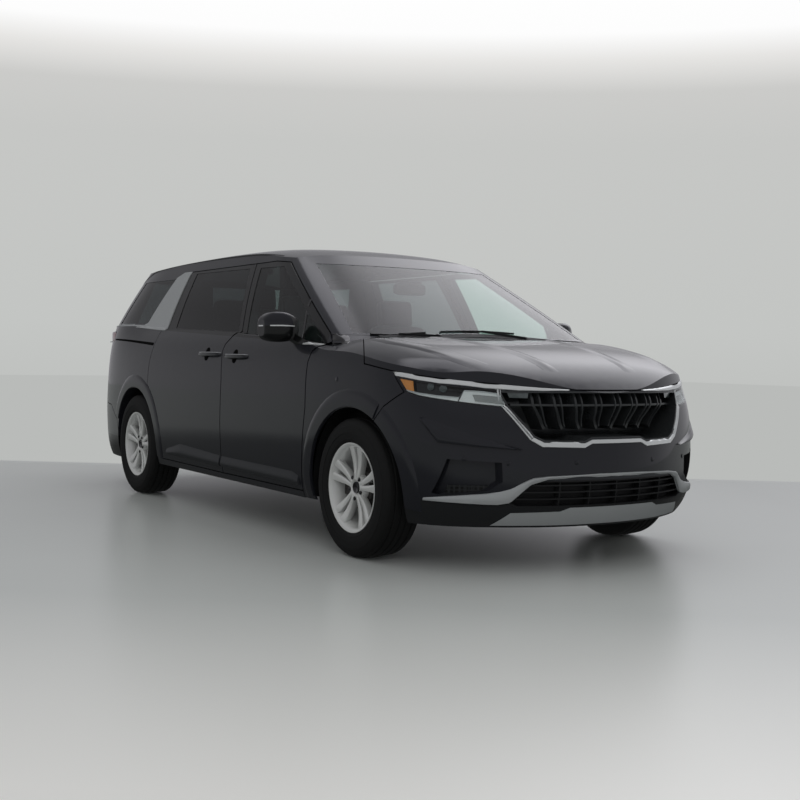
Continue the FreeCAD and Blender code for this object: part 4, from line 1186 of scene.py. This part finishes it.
def upright_pad(x, y, z, width, height, depth, lean, crown=0.35, channels=()):
    """A cushion that stands on its end and leans to the rear, such as a seat back."""
    bm = pad((-height / 2, -width / 2, -depth / 2), (height / 2, width / 2, depth / 2), crown,
             bolster=0.5, channels=channels)
    bmesh.ops.rotate(bm, matrix=Matrix.Rotation(math.radians(90), 3, "Y"), verts=bm.verts)
    bmesh.ops.translate(bm, vec=Vector((0, 0, height / 2)) * MM, verts=bm.verts)
    bmesh.ops.rotate(bm, matrix=Matrix.Rotation(math.radians(-lean), 3, "Y"), verts=bm.verts)
    bmesh.ops.translate(bm, vec=Vector((x, y, z)) * MM, verts=bm.verts)
    return bm


def soften(obj):
    """Adds one level of subdivision."""
    modifier = obj.modifiers.new("soft", "SUBSURF")
    modifier.levels = 1
    modifier.render_levels = 1


class MINIVAN_OT_upper(bpy.types.Operator):
    """Hood creases, roof strips, pillar trims, cowl, wipers and mirror details"""

    bl_idname = "minivan.upper"
    bl_label = "Hood, glass and mirror trim"

    def execute(self, context):
        hood = ("hood",)

        def crease(line, outside, inside, heights, taper):
            outer = [above(x, -y - outside, hood) for x, y in line]
            inner = [above(x, -y + inside, hood) for x, y in line]
            return skin_mesh(outer, inner, heights=heights, sink=0.2, names=hood, step=30,
                             ends=(False, False), edge=1, taper=taper)

        ridge = (0.1, 1.6, 3.8, 5.2, 5.0, 4.2, 3.4, 2.6, 1.8, 1.1, 0.5, 0.15)
        first = crease(((1502, 802), (1709, 795), (1900, 747), (2123, 708), (2273, 646)),
                       20, 90, ridge, (0.04, 0.3))
        dome = (0.15, 0.6, 1.4, 2.4, 3.6, 4.8, 5.0, 3.4, 1.4, 0.1)
        second = crease(((1505, 398), (1620, 380), (1870, 310), (2040, 278), (2180, 258),
                         (2310, 246), (2372, 240)), 70, 18, dome, (0.04, 0.12))
        trim("hood_creases", "plain_paint", first, second, body="hood")

        rail = (330, 0, -450, -900, -1350, -1800, -2040)
        strip = skin_mesh([above(x, -699) for x in rail], [above(x, -709) for x in rail],
                          rise=1.2, sink=1, edge=1)
        trim("roof_strips", "black_plastic", strip)

        foot = skin_mesh([at(1272, -886, 1155), at(1359, -839, 1145), at(1392, -846, 1132)],
                         [at(1308, -910, 1099), at(1372, -898, 1098), at(1434, -887, 1103)],
                         rise=1.5, sink=1)
        trim("pillar_foot_trim", "gloss_black", foot)
        line = skin_mesh([side(1056, 1102), side(1150, 1102), side(1236, 1101)],
                         [side(1056, 1094), side(1150, 1094), side(1236, 1094)], rise=3, edge=1)
        trim("sail_strip", "satin_chrome", line, body="front_door")
        names = SHELL + GLAZING
        bar = skin_mesh([side(900, 1358, names), side(962, 1128, names)],
                        [side(920, 1350, names), side(986, 1128, names)], rise=2.5, names=names)
        belt = skin_mesh([side(240, 1158), side(940, 1126)], [side(240, 1150), side(940, 1118)],
                         rise=2, edge=1)
        trim("window_divider", "gloss_black", bar, belt, body="front_door")

        names = ("windscreen", "body_shell", "hood")
        cowl = skin_mesh([above(1446, y, names) for y in (0, -400, -620, -760)],
                         [above(1488, y, names) for y in (0, -400, -620, -760)],
                         heights=(1, 3, 1.5, 3, 1.5, 3, 1), names=names, sink=1)
        trim("cowl_cover", "black_plastic", cowl)

        def wiper(pivot_y, middle_y, blade):
            spots = []
            for y in blade:
                spots.append(cast((1424 + abs(y) * 0.012, y, 4000), (0, 0, -1), names))
            edge_a = [p + Vector((-4, 0, 2)) for p in spots]
            edge_b = [p + Vector((4, 0, -2)) for p in spots]
            rubber = skin_mesh(edge_a, edge_b, heights=(3, 7, 9, 7, 3), names=names, sink=0,
                               edge=1)
            pivot = above(1474, pivot_y, names)
            middle = above(1426, middle_y, names)
            arm = skin_mesh([pivot + Vector((-7, 0, 3)), middle + Vector((-3, 0, 2))],
                            [pivot + Vector((7, 0, -3)), middle + Vector((3, 0, -2))],
                            heights=(6, 11, 13, 11, 6), names=names, sink=0, edge=1)
            cap = disc(pivot + Vector((0, 0, 5)), (0.35, 0, 1), 12, 16, bevel=3)
            return [rubber, arm, cap]

        trim("wipers", "moulded_black", *wiper(-330, -560, (-735, -650, -560, -470, -385)),
             *wiper(280, 0, (-290, -150, 0, 130, 235)), mirror=False)

        mirror = ("mirror_right",)

        def hit(y, z, names=mirror):
            return cast((4000, y, z), (-1, 0, 0), names)

        lamp = skin_mesh([hit(-968, 1200), hit(-1040, 1202), hit(-1100, 1200)],
                         [hit(-968, 1193), hit(-1040, 1194), hit(-1100, 1193)], rise=1.6, sink=1,
                         names=mirror, edge=1)
        tail = skin_mesh([cast((x, -3000, 1200), (0, 1, 0), mirror) for x in (900, 870, 842)],
                         [cast((x, -3000, 1192), (0, 1, 0), mirror) for x in (900, 870, 842)],
                         rise=0.3, sink=1, names=mirror, edge=1)
        trim("mirror_seam", "satin_chrome", lamp, tail, body="front_door")
        rear_face = [cast((300, y, 1244), (1, 0, 0), mirror) for y in (-972, -1030, -1092)]
        rear_low = [cast((300, y, 1136), (1, 0, 0), mirror) for y in (-972, -1030, -1092)]
        glass = skin_mesh(rear_face, rear_low, rise=1.5, sink=1, names=mirror)
        trim("mirror_glass", "mirror_silver", glass, body="front_door")
        return {"FINISHED"}


# The belt round the tail at the lamps, x and half width
BELT = ((-2050, 889), (-2110, 884), (-2200, 876), (-2270, 866), (-2340, 846), (-2395, 822),
        (-2425, 786), (-2442, 740), (-2452, 660), (-2458, 580), (-2464, 360), (-2467, 180),
        (-2467, 0))


# The skin round the rear corner under the tail lamp: place along it and depth, in mm
CORNER_LOW_Z = 1000
CORNER_LOW = ((-64, 22), (-30, 7), (0, -3), (30, -10), (60, -14.5), (90, -15.5), (126, -13))
CORNER_HIGH_Z = 1104
CORNER_HIGH = ((-64, 36), (-30, 22), (0, 12.5), (30, 5), (60, 1), (90, 1), (126, 4))


class MINIVAN_OT_tail(bpy.types.Operator):
    """Tail lamp band, tailgate and rear bumper details"""

    bl_idname = "minivan.tail"
    bl_label = "Tail"

    def execute(self, context):
        def band(start, stop, profile, step=24):
            """A band round the tail from one belt point to another, by (height, standing out)."""
            points = [Vector((x, -y, 0)) for x, y in BELT[start:stop]]
            if start == 0:
                points[0] = Vector((-2086, -886, 0))
            length = sum((b - a).length for a, b in zip(points, points[1:]))
            count = math.ceil(length / step)

            def place(i, j):
                share = min(i / count, 1) if start == 0 else max(i - 1, 0) / count
                spot = path_point(points, share)
                back = path_point(points, max(0, share - 0.02))
                ahead = path_point(points, min(1, share + 0.02))
                out = (ahead - back).cross(Vector((0, 0, 1))).normalized()
                if out.dot(Vector((-0.3, -1, 0))) < 0 and start == 0:
                    out = -out
                if start > 0 and out.x > 0:
                    out = -out
                z, rise = profile[j]
                if (start == 0 and i > count) or (start > 0 and i == 0):
                    rise = -20
                if start == 0 and i < 4:
                    rise = rise if rise < 0 else rise * i / 4
                    spot = spot + Vector((-(z - 1099) * 0.95 * (1 - i / 4), 0, 0))
                return spot + out * rise + Vector((0, 0, z))

            return mapped(count + 1, len(profile) - 1, place, (-0.5, -0.5, 0))

        lens = ((1094, -40), (1096, -6), (1102, 3), (1110, 6), (1130, 8), (1150, 8), (1170, 8),
                (1180, 6), (1187, 2), (1190, -10))
        line = ((1133, -4), (1134, 1), (1143, 2), (1152, 1), (1153, -4))
        split = 7
        body_lens = link("tail_lamp_lens", self.cut_pair(band(0, split + 1, lens), -9, -0.743),
                         "red_lens", "body")
        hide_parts("tail_lamps")
        link("tail_lamp_line", self.cut_pair(band(0, split + 1, line), -9, -0.745), "lamp_white",
             "body")
        gate_lens = link("tailgate_lamp_lens",
                         self.cut_pair(band(split, len(BELT), lens), -0.7355, 0), "red_lens",
                         "tailgate")
        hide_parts("tailgate_lamp")
        link("tailgate_lamp_line", self.cut_pair(band(split, len(BELT), line), -0.733, 0),
             "lamp_white", "tailgate")

        tail = ("tailgate",)
        panel = skin_mesh([rear(0, 905, tail), rear(-300, 905, tail), rear(-330, 890, tail)],
                          [rear(0, 742, tail), rear(-270, 742, tail), rear(-290, 755, tail)],
                          rise=1.2, sink=1, names=tail)
        trim("plate_recess", "black_plastic", panel, body="tailgate")
        lip = skin_mesh([rear(0, 928, tail), rear(-345, 928, tail)],
                        [rear(0, 905, tail), rear(-330, 905, tail)],
                        heights=(2, 8, 14, 16, 14), names=tail, sink=2)
        trim("tailgate_handle_lip", "satin_chrome", lip, body="tailgate")
        names = ("tailgate", "tailgate_glass")
        high = skin_mesh([rear(0, 1622, names), rear(-150, 1621, names)],
                         [rear(0, 1608, names), rear(-150, 1607, names)], rise=4, names=names)
        trim("high_brake_lamp", "red_lens", high, body="tailgate")
        arm = skin_mesh([rear(-10, 1262, names), rear(-180, 1282, names), rear(-345, 1294, names)],
                        [rear(-10, 1246, names), rear(-180, 1272, names), rear(-345, 1285, names)],
                        heights=(8, 14, 16, 14, 8), names=names, sink=0)
        cap = disc(rear(0, 1254, names) + Vector((-8, 0, 0)), (1, 0, 0.2), 19, 22, bevel=4)
        trim("rear_wiper", "moulded_black", arm, cap, body="tailgate", mirror=False)

        bumper = ("rear_bumper",)
        insert = skin_mesh([rear(0, 356, bumper), rear(-470, 356, bumper), rear(-560, 330, bumper)],
                           [rear(0, 300, bumper), rear(-500, 300, bumper), rear(-575, 312, bumper)],
                           rise=6, names=bumper)
        trim("rear_skid", "silver_plastic", insert)
        reflector = skin_mesh([rear(-640, 446, bumper), rear(-800, 452, bumper)],
                              [rear(-640, 424, bumper), rear(-800, 428, bumper)], rise=3,
                              names=bumper)
        trim("rear_reflectors", "red_lens", reflector)
        pad = skin_mesh([above(-2440, 0, bumper), above(-2430, -560, bumper)],
                        [above(-2500, 0, bumper), above(-2490, -560, bumper)],
                        heights=(1, 3, 3, 3, 1), names=bumper, sink=1)
        trim("bumper_step_pad", "black_plastic", pad)
        trim("rear_corner_panels", "plain_paint", self.corner_panel((-4, 5), (126, 126)))
        trim("tailgate_corner_panels", "plain_paint", self.corner_panel((-64, -64), (-15, -6)),
             body="tailgate")
        return {"FINISHED"}

    def corner_panel(self, start, stop, columns=28, rows=10):
        """The painted skin under the tail lamp, round the corner between two places along it.
        Each place is given at the skin's lower and upper edge."""
        ahead = Vector((0.72, 0.69, 0))
        aside = Vector((0.69, -0.72, 0))
        edges = ((CORNER_LOW, CORNER_LOW_Z), (CORNER_HIGH, CORNER_HIGH_Z))

        def spot(line, z, along):
            depth = line[-1][1]
            for (a, depth_a), (b, depth_b) in zip(line, line[1:]):
                if along <= b:
                    depth = depth_a + (depth_b - depth_a) * (along - a) / (b - a)
                    break
            return Vector((-2430, -750, z)) + aside * along + ahead * depth

        def place(i, j):
            low, high = (spot(line, z, first + (last - first) * i / columns)
                         for (line, z), first, last in zip(edges, start, stop))
            border = i in (0, columns) or j in (0, rows)
            return low.lerp(high, j / rows) + ahead * (6 if border else -1.2)

        return mapped(columns, rows, place, (-0.7, -0.7, 0))

    def cut_pair(self, bm, low, high):
        """A band kept between two distances from the middle, with its mirror image."""
        for vert in bm.verts:
            vert.co.y = min(max(vert.co.y, low), high)
        both_sides(bm)
        bmesh.ops.remove_doubles(bm, verts=bm.verts, dist=0.00005)
        return bm


class MINIVAN_OT_cabin(bpy.types.Operator):
    """Seats, steering wheel rim and inner mirror"""

    bl_idname = "minivan.cabin"
    bl_label = "Cabin"

    def seat(self, x, y, width, floor_z):
        cushion = pad((x, y - width / 2, floor_z + 255), (x + 500, y + width / 2, floor_z + 395),
                      0.25, bolster=0.45, channels=(-0.35, 0.3))
        back = upright_pad(x + 40, y, floor_z + 315, width - 30, 630, 120, 12,
                           channels=(-0.4, 0.1))
        head = upright_pad(x - 102, y, floor_z + 915, 250, 190, 90, 6)
        return cushion, back, head

    def execute(self, context):
        groups = {"front": (FRONT_SEATS, "front_seats"), "rear": (REAR_SEATS, "rear_seats")}
        for label, (places, node) in groups.items():
            pads = []
            for x, y, width, floor_z in places:
                pads += self.seat(x, y, width, floor_z)
            seats = link(f"{label}_seat_pads", joined(pads), "seat_fabric", "body", 60)
            soften(seats)
            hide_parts(node)
            bases = []
            for x, y, width, floor_z in places:
                bases.append(rounded_box((x + 60, y - width / 2 + 60, floor_z),
                                         (x + 440, y + width / 2 - 60, floor_z + 265), 12))
                for side_y in (-55, 55):
                    bases.append(disc((x - 96, y + side_y, floor_z + 905), (0.13, 0, 1), 6, 90,
                                      bevel=0, count=12))
            link(f"{label}_seat_bases", joined(bases), "black_plastic", "body")

        rim = bmesh.new()
        bmesh.ops.create_circle(rim, cap_ends=False, segments=16, radius=15 * MM)
        middle = (settings().wheel_radius, 0, 0)
        bmesh.ops.translate(rim, vec=middle, verts=rim.verts)
        bmesh.ops.rotate(rim, cent=middle, matrix=Matrix.Rotation(math.radians(90), 3, "X"),
                         verts=rim.verts)
        bmesh.ops.spin(rim, geom=rim.verts[:] + rim.edges[:], axis=(0, 0, 1), cent=(0, 0, 0),
                       steps=64, angle=2 * math.pi, use_merge=True)
        bmesh.ops.remove_doubles(rim, verts=rim.verts, dist=0.00001)
        bmesh.ops.recalc_face_normals(rim, faces=rim.faces)
        parts = [rim, rounded_box((-62, -52, -22), (62, 52, 22), 14, 3)]
        for low, high in (((-175, -17, -12), (-50, 17, 8)), ((50, -17, -12), (175, 17, 8)),
                          ((-17, -175, -12), (17, -45, 8))):
            parts.append(rounded_box(low, high, 6))
        wheel = joined(parts)
        low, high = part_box("steering_wheel")
        centre = (low + high) / 2
        bmesh.ops.rotate(wheel, matrix=Matrix.Rotation(math.radians(-66), 3, "Y"),
                         verts=wheel.verts)
        bmesh.ops.translate(wheel, vec=centre, verts=wheel.verts)
        wheel = link("steering_wheel_look", wheel, "soft_black", "steering_wheel")
        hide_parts("steering_wheel")

        inner = pad((655, -118, 1420), (690, 118, 1492), 0.2, cuts=5)
        glass = link("inner_mirror", inner, "black_plastic", "body")
        soften(glass)
        stalk = rounded_box((665, -14, 1470), (790, 14, 1500), 5)
        link("inner_mirror_stalk", stalk, "black_plastic", "body")
        return {"FINISHED"}


class MINIVAN_OT_stage(bpy.types.Operator):
    """Floor, soft lights, pale surroundings and the camera"""

    bl_idname = "minivan.stage"
    bl_label = "Stage"

    def execute(self, context):
        scene = context.scene
        mesh = bpy.data.meshes.new("floor")
        bm = bmesh.new()
        bmesh.ops.create_grid(bm, x_segments=1, y_segments=1, size=settings().floor_reach)
        bm.to_mesh(mesh)
        bm.free()
        floor = bpy.data.objects.new("floor", mesh)
        scene.collection.objects.link(floor)
        material, tree, shader = new_material("polished_concrete", Roughness=0.28)
        mottled(tree, shader, "Base Color", "#c8cbca", "#ced1d0", 900.0)
        distance = add_node(tree, "ShaderNodeVectorMath",
                            {0: object_point(tree), 1: (-0.794, 0.608, 0.0)},
                            operation="DOT_PRODUCT")
        # Painted light: the floor's colour grows lighter towards the camera, near white at the
        # front.
        near = add_node(tree, "ShaderNodeMapRange",
                        {"Value": distance.outputs["Value"], "From Min": -3.0, "From Max": -5.2})
        blended(tree, shader, "Base Color", near.outputs["Result"], "#f6f5f3")
        # Painted shade: the floor's colour grows darker towards the right of the view.
        across = add_node(tree, "ShaderNodeVectorMath",
                          {0: object_point(tree), 1: (0.544, 0.839, 0.0)},
                          operation="DOT_PRODUCT")
        painted_shade_right = add_node(tree, "ShaderNodeMapRange",
                              {"Value": across.outputs["Value"], "From Min": 1.2, "From Max": 3.2,
                               "To Max": 0.45})
        blended(tree, shader, "Base Color", painted_shade_right.outputs["Result"], "#8e9190")
        beyond = add_node(tree, "ShaderNodeMapRange",
                          {"Value": distance.outputs["Value"], "From Min": 2.66, "From Max": 2.76})
        wall = add_node(tree, "ShaderNodeEmission", {"Color": linear(WALL_LOW), "Strength": 1.0})
        seen_floor = add_node(tree, "ShaderNodeMixShader", {"Fac": beyond.outputs["Result"],
                                                            1: shader.outputs[0],
                                                            2: wall.outputs[0]})
        # Painted shade: rays that reflect off the vehicle see the floor as a dim glow, darkest near
        # the vehicle.
        away = add_node(tree, "ShaderNodeVectorMath", {0: object_point(tree)}, operation="LENGTH")
        level = add_node(tree, "ShaderNodeMapRange",
                         {"Value": away.outputs["Value"], "From Min": 4.0, "From Max": 7.0,
                          "To Min": 0.06, "To Max": 0.27}, interpolation_type="SMOOTHSTEP")
        dark = add_node(tree, "ShaderNodeEmission", {"Color": (0.96, 1.0, 0.98, 1.0),
                                                     "Strength": level.outputs["Result"]})
        rays = add_node(tree, "ShaderNodeLightPath")
        mix = add_node(tree, "ShaderNodeMixShader", {"Fac": rays.outputs["Is Glossy Ray"],
                                                     1: seen_floor.outputs[0],
                                                     2: dark.outputs[0]})
        tree.links.new(mix.outputs[0], tree.nodes["Material Output"].inputs["Surface"])
        mesh.materials.append(material)

        world = bpy.data.worlds.new("soft_studio")
        scene.world = world
        world.use_nodes = True
        tree = world.node_tree
        background = tree.nodes["Background"]
        geometry = add_node(tree, "ShaderNodeTexCoord")
        split = add_node(tree, "ShaderNodeSeparateXYZ", {"Vector": geometry.outputs["Generated"]})
        height = add_node(tree, "ShaderNodeMapRange",
                          {"Value": split.outputs["Z"], "From Min": -0.2, "From Max": 0.3})
        ramp = add_node(tree, "ShaderNodeValToRGB", {"Fac": height.outputs["Result"]})
        stops = ramp.color_ramp
        stops.elements[0].position = 0.0
        stops.elements[0].color = linear(WALL_LOW)
        stops.elements[1].position = 1.0
        stops.elements[1].color = linear("#ffffff")
        for place, colour in ((0.2, WALL_LOW), (0.45, "#c3c5c3"), (0.75, "#c6c7c5"),
                              (0.83, "#cbcbc9"), (0.88, "#e6e5e3"), (0.92, "#fdfdfd")):
            stops.elements.new(place).color = linear(colour)
        # What the paint and glass reflect is dimmer near the horizon and overhead
        sky = add_node(tree, "ShaderNodeMapRange",
                       {"Value": split.outputs["Z"], "From Min": -0.2, "From Max": 1.0})
        mirrored = add_node(tree, "ShaderNodeValToRGB", {"Fac": sky.outputs["Result"]})
        stops = mirrored.color_ramp
        stops.elements[0].color = (0.36, 0.37, 0.37, 1.0)
        stops.elements[1].color = (0.36, 0.355, 0.385, 1.0)
        for height_z, level in MIRRORED_LEVELS:
            colour = (level, level * 0.995, level * 1.04, 1.0)
            stops.elements.new((height_z + 0.2) / 1.2).color = colour
        toward = add_node(tree, "ShaderNodeVectorMath",
                          {0: geometry.outputs["Generated"], 1: (0.55, -0.83, 0.0)},
                          operation="DOT_PRODUCT")
        dim = add_node(tree, "ShaderNodeMapRange",
                       {"Value": toward.outputs["Value"], "From Min": -0.85, "From Max": -0.1,
                        "To Min": 1.0, "To Max": 0.6}, interpolation_type="SMOOTHSTEP")
        strength = dim.outputs["Result"]
        for way, start, full, level in MIRRORED_PATCHES:
            lamp_way = add_node(tree, "ShaderNodeVectorMath",
                                {0: geometry.outputs["Generated"], 1: way},
                                operation="DOT_PRODUCT")
            lobe = add_node(tree, "ShaderNodeMapRange",
                            {"Value": lamp_way.outputs["Value"], "From Min": start,
                             "From Max": full, "To Max": level},
                            interpolation_type="SMOOTHERSTEP")
            strength = add_node(tree, "ShaderNodeMath", {0: strength, 1: lobe.outputs["Result"]},
                                operation="ADD").outputs[0]
        reflection = add_node(tree, "ShaderNodeBackground",
                              {"Color": mirrored.outputs["Color"], "Strength": strength})
        rays = add_node(tree, "ShaderNodeLightPath")
        seen = add_node(tree, "ShaderNodeMath", {0: rays.outputs["Is Camera Ray"],
                                                 1: rays.outputs["Is Transmission Ray"]},
                        operation="MAXIMUM")
        tree.links.new(ramp.outputs["Color"], background.inputs["Color"])
        background.inputs["Strength"].default_value = 1.0
        soft = add_node(tree, "ShaderNodeBackground", {"Color": linear("#c8c9c8"),
                                                       "Strength": 0.95})
        glossy = add_node(tree, "ShaderNodeMixShader", {"Fac": rays.outputs["Is Glossy Ray"],
                                                        1: soft.outputs[0],
                                                        2: reflection.outputs[0]})
        mix = add_node(tree, "ShaderNodeMixShader", {"Fac": seen.outputs[0],
                                                     1: glossy.outputs[0],
                                                     2: background.outputs[0]})
        tree.links.new(mix.outputs[0], tree.nodes["World Output"].inputs["Surface"])

        for name, place, target, wide, long, watts in (
                ("ceiling_softbox", (0.6, 1.8, 5.6), (1.0, 0.0, 1.0), 4.0, 4.0,
                 settings().ceiling_power),
                ("front_softbox", (6.5, -3.5, 3.6), (0.5, 0.0, 0.8), 3.0, 2.0,
                 settings().front_power)):
            light = bpy.data.lights.new(name, "AREA")
            light.shape = "RECTANGLE"
            light.size = wide
            light.size_y = long
            light.energy = watts
            obj = bpy.data.objects.new(name, light)
            obj.location = place
            aim = Vector(target) - Vector(place)
            obj.rotation_euler = aim.to_track_quat("-Z", "Y").to_euler()
            scene.collection.objects.link(obj)
            obj.visible_glossy = False

        camera = bpy.data.cameras.new("camera")
        camera.lens = settings().lens
        camera.sensor_width = 36.0
        camera.clip_end = 200.0
        obj = bpy.data.objects.new("camera", camera)
        scene.collection.objects.link(obj)
        azimuth, elevation, roll = (math.radians(turn) for turn in CAMERA_TURN)
        back = Vector((math.sin(azimuth) * math.cos(elevation),
                       -math.cos(azimuth) * math.cos(elevation), math.sin(elevation)))
        right = Vector((math.cos(azimuth), math.sin(azimuth), 0.0))
        up = back.cross(right)
        rolled = right * math.cos(roll) + up * math.sin(roll)
        upward = up * math.cos(roll) - right * math.sin(roll)
        matrix = Matrix((rolled, upward, back)).transposed().to_4x4()
        matrix.translation = Vector(CAMERA_PLACE)
        obj.matrix_world = matrix
        scene.camera = obj
        scene.view_settings.view_transform = "Standard"
        return {"FINISHED"}


class MINIVAN_PT_panel(bpy.types.Panel):
    """Buttons for the minivan's pieces"""

    bl_idname = "MINIVAN_PT_panel"
    bl_label = "Minivan"
    bl_space_type = "VIEW_3D"
    bl_region_type = "UI"
    bl_category = "Minivan"

    def draw(self, context):
        for name in MINIVAN_PG_settings.__annotations__:
            self.layout.prop(settings(), name)
        for name in STEPS:
            self.layout.operator(f"minivan.{name}")


STEPS = ("finishes", "side_trim", "nose", "headlamps", "wheels", "upper", "tail", "cabin",
         "stage")
CLASSES = (MINIVAN_PG_settings, MINIVAN_OT_finishes, MINIVAN_OT_side_trim, MINIVAN_OT_nose,
           MINIVAN_OT_headlamps, MINIVAN_OT_wheels, MINIVAN_OT_upper, MINIVAN_OT_tail,
           MINIVAN_OT_cabin, MINIVAN_OT_stage, MINIVAN_PT_panel)


def register():
    for cls in CLASSES:
        bpy.utils.register_class(cls)
    bpy.types.Scene.minivan_settings = bpy.props.PointerProperty(type=MINIVAN_PG_settings)


def unregister():
    del bpy.types.Scene.minivan_settings
    for cls in reversed(CLASSES):
        bpy.utils.unregister_class(cls)


def main():
    register()
    for name in STEPS:
        getattr(bpy.ops.minivan, name)()


if __name__ == "__main__":
    main()
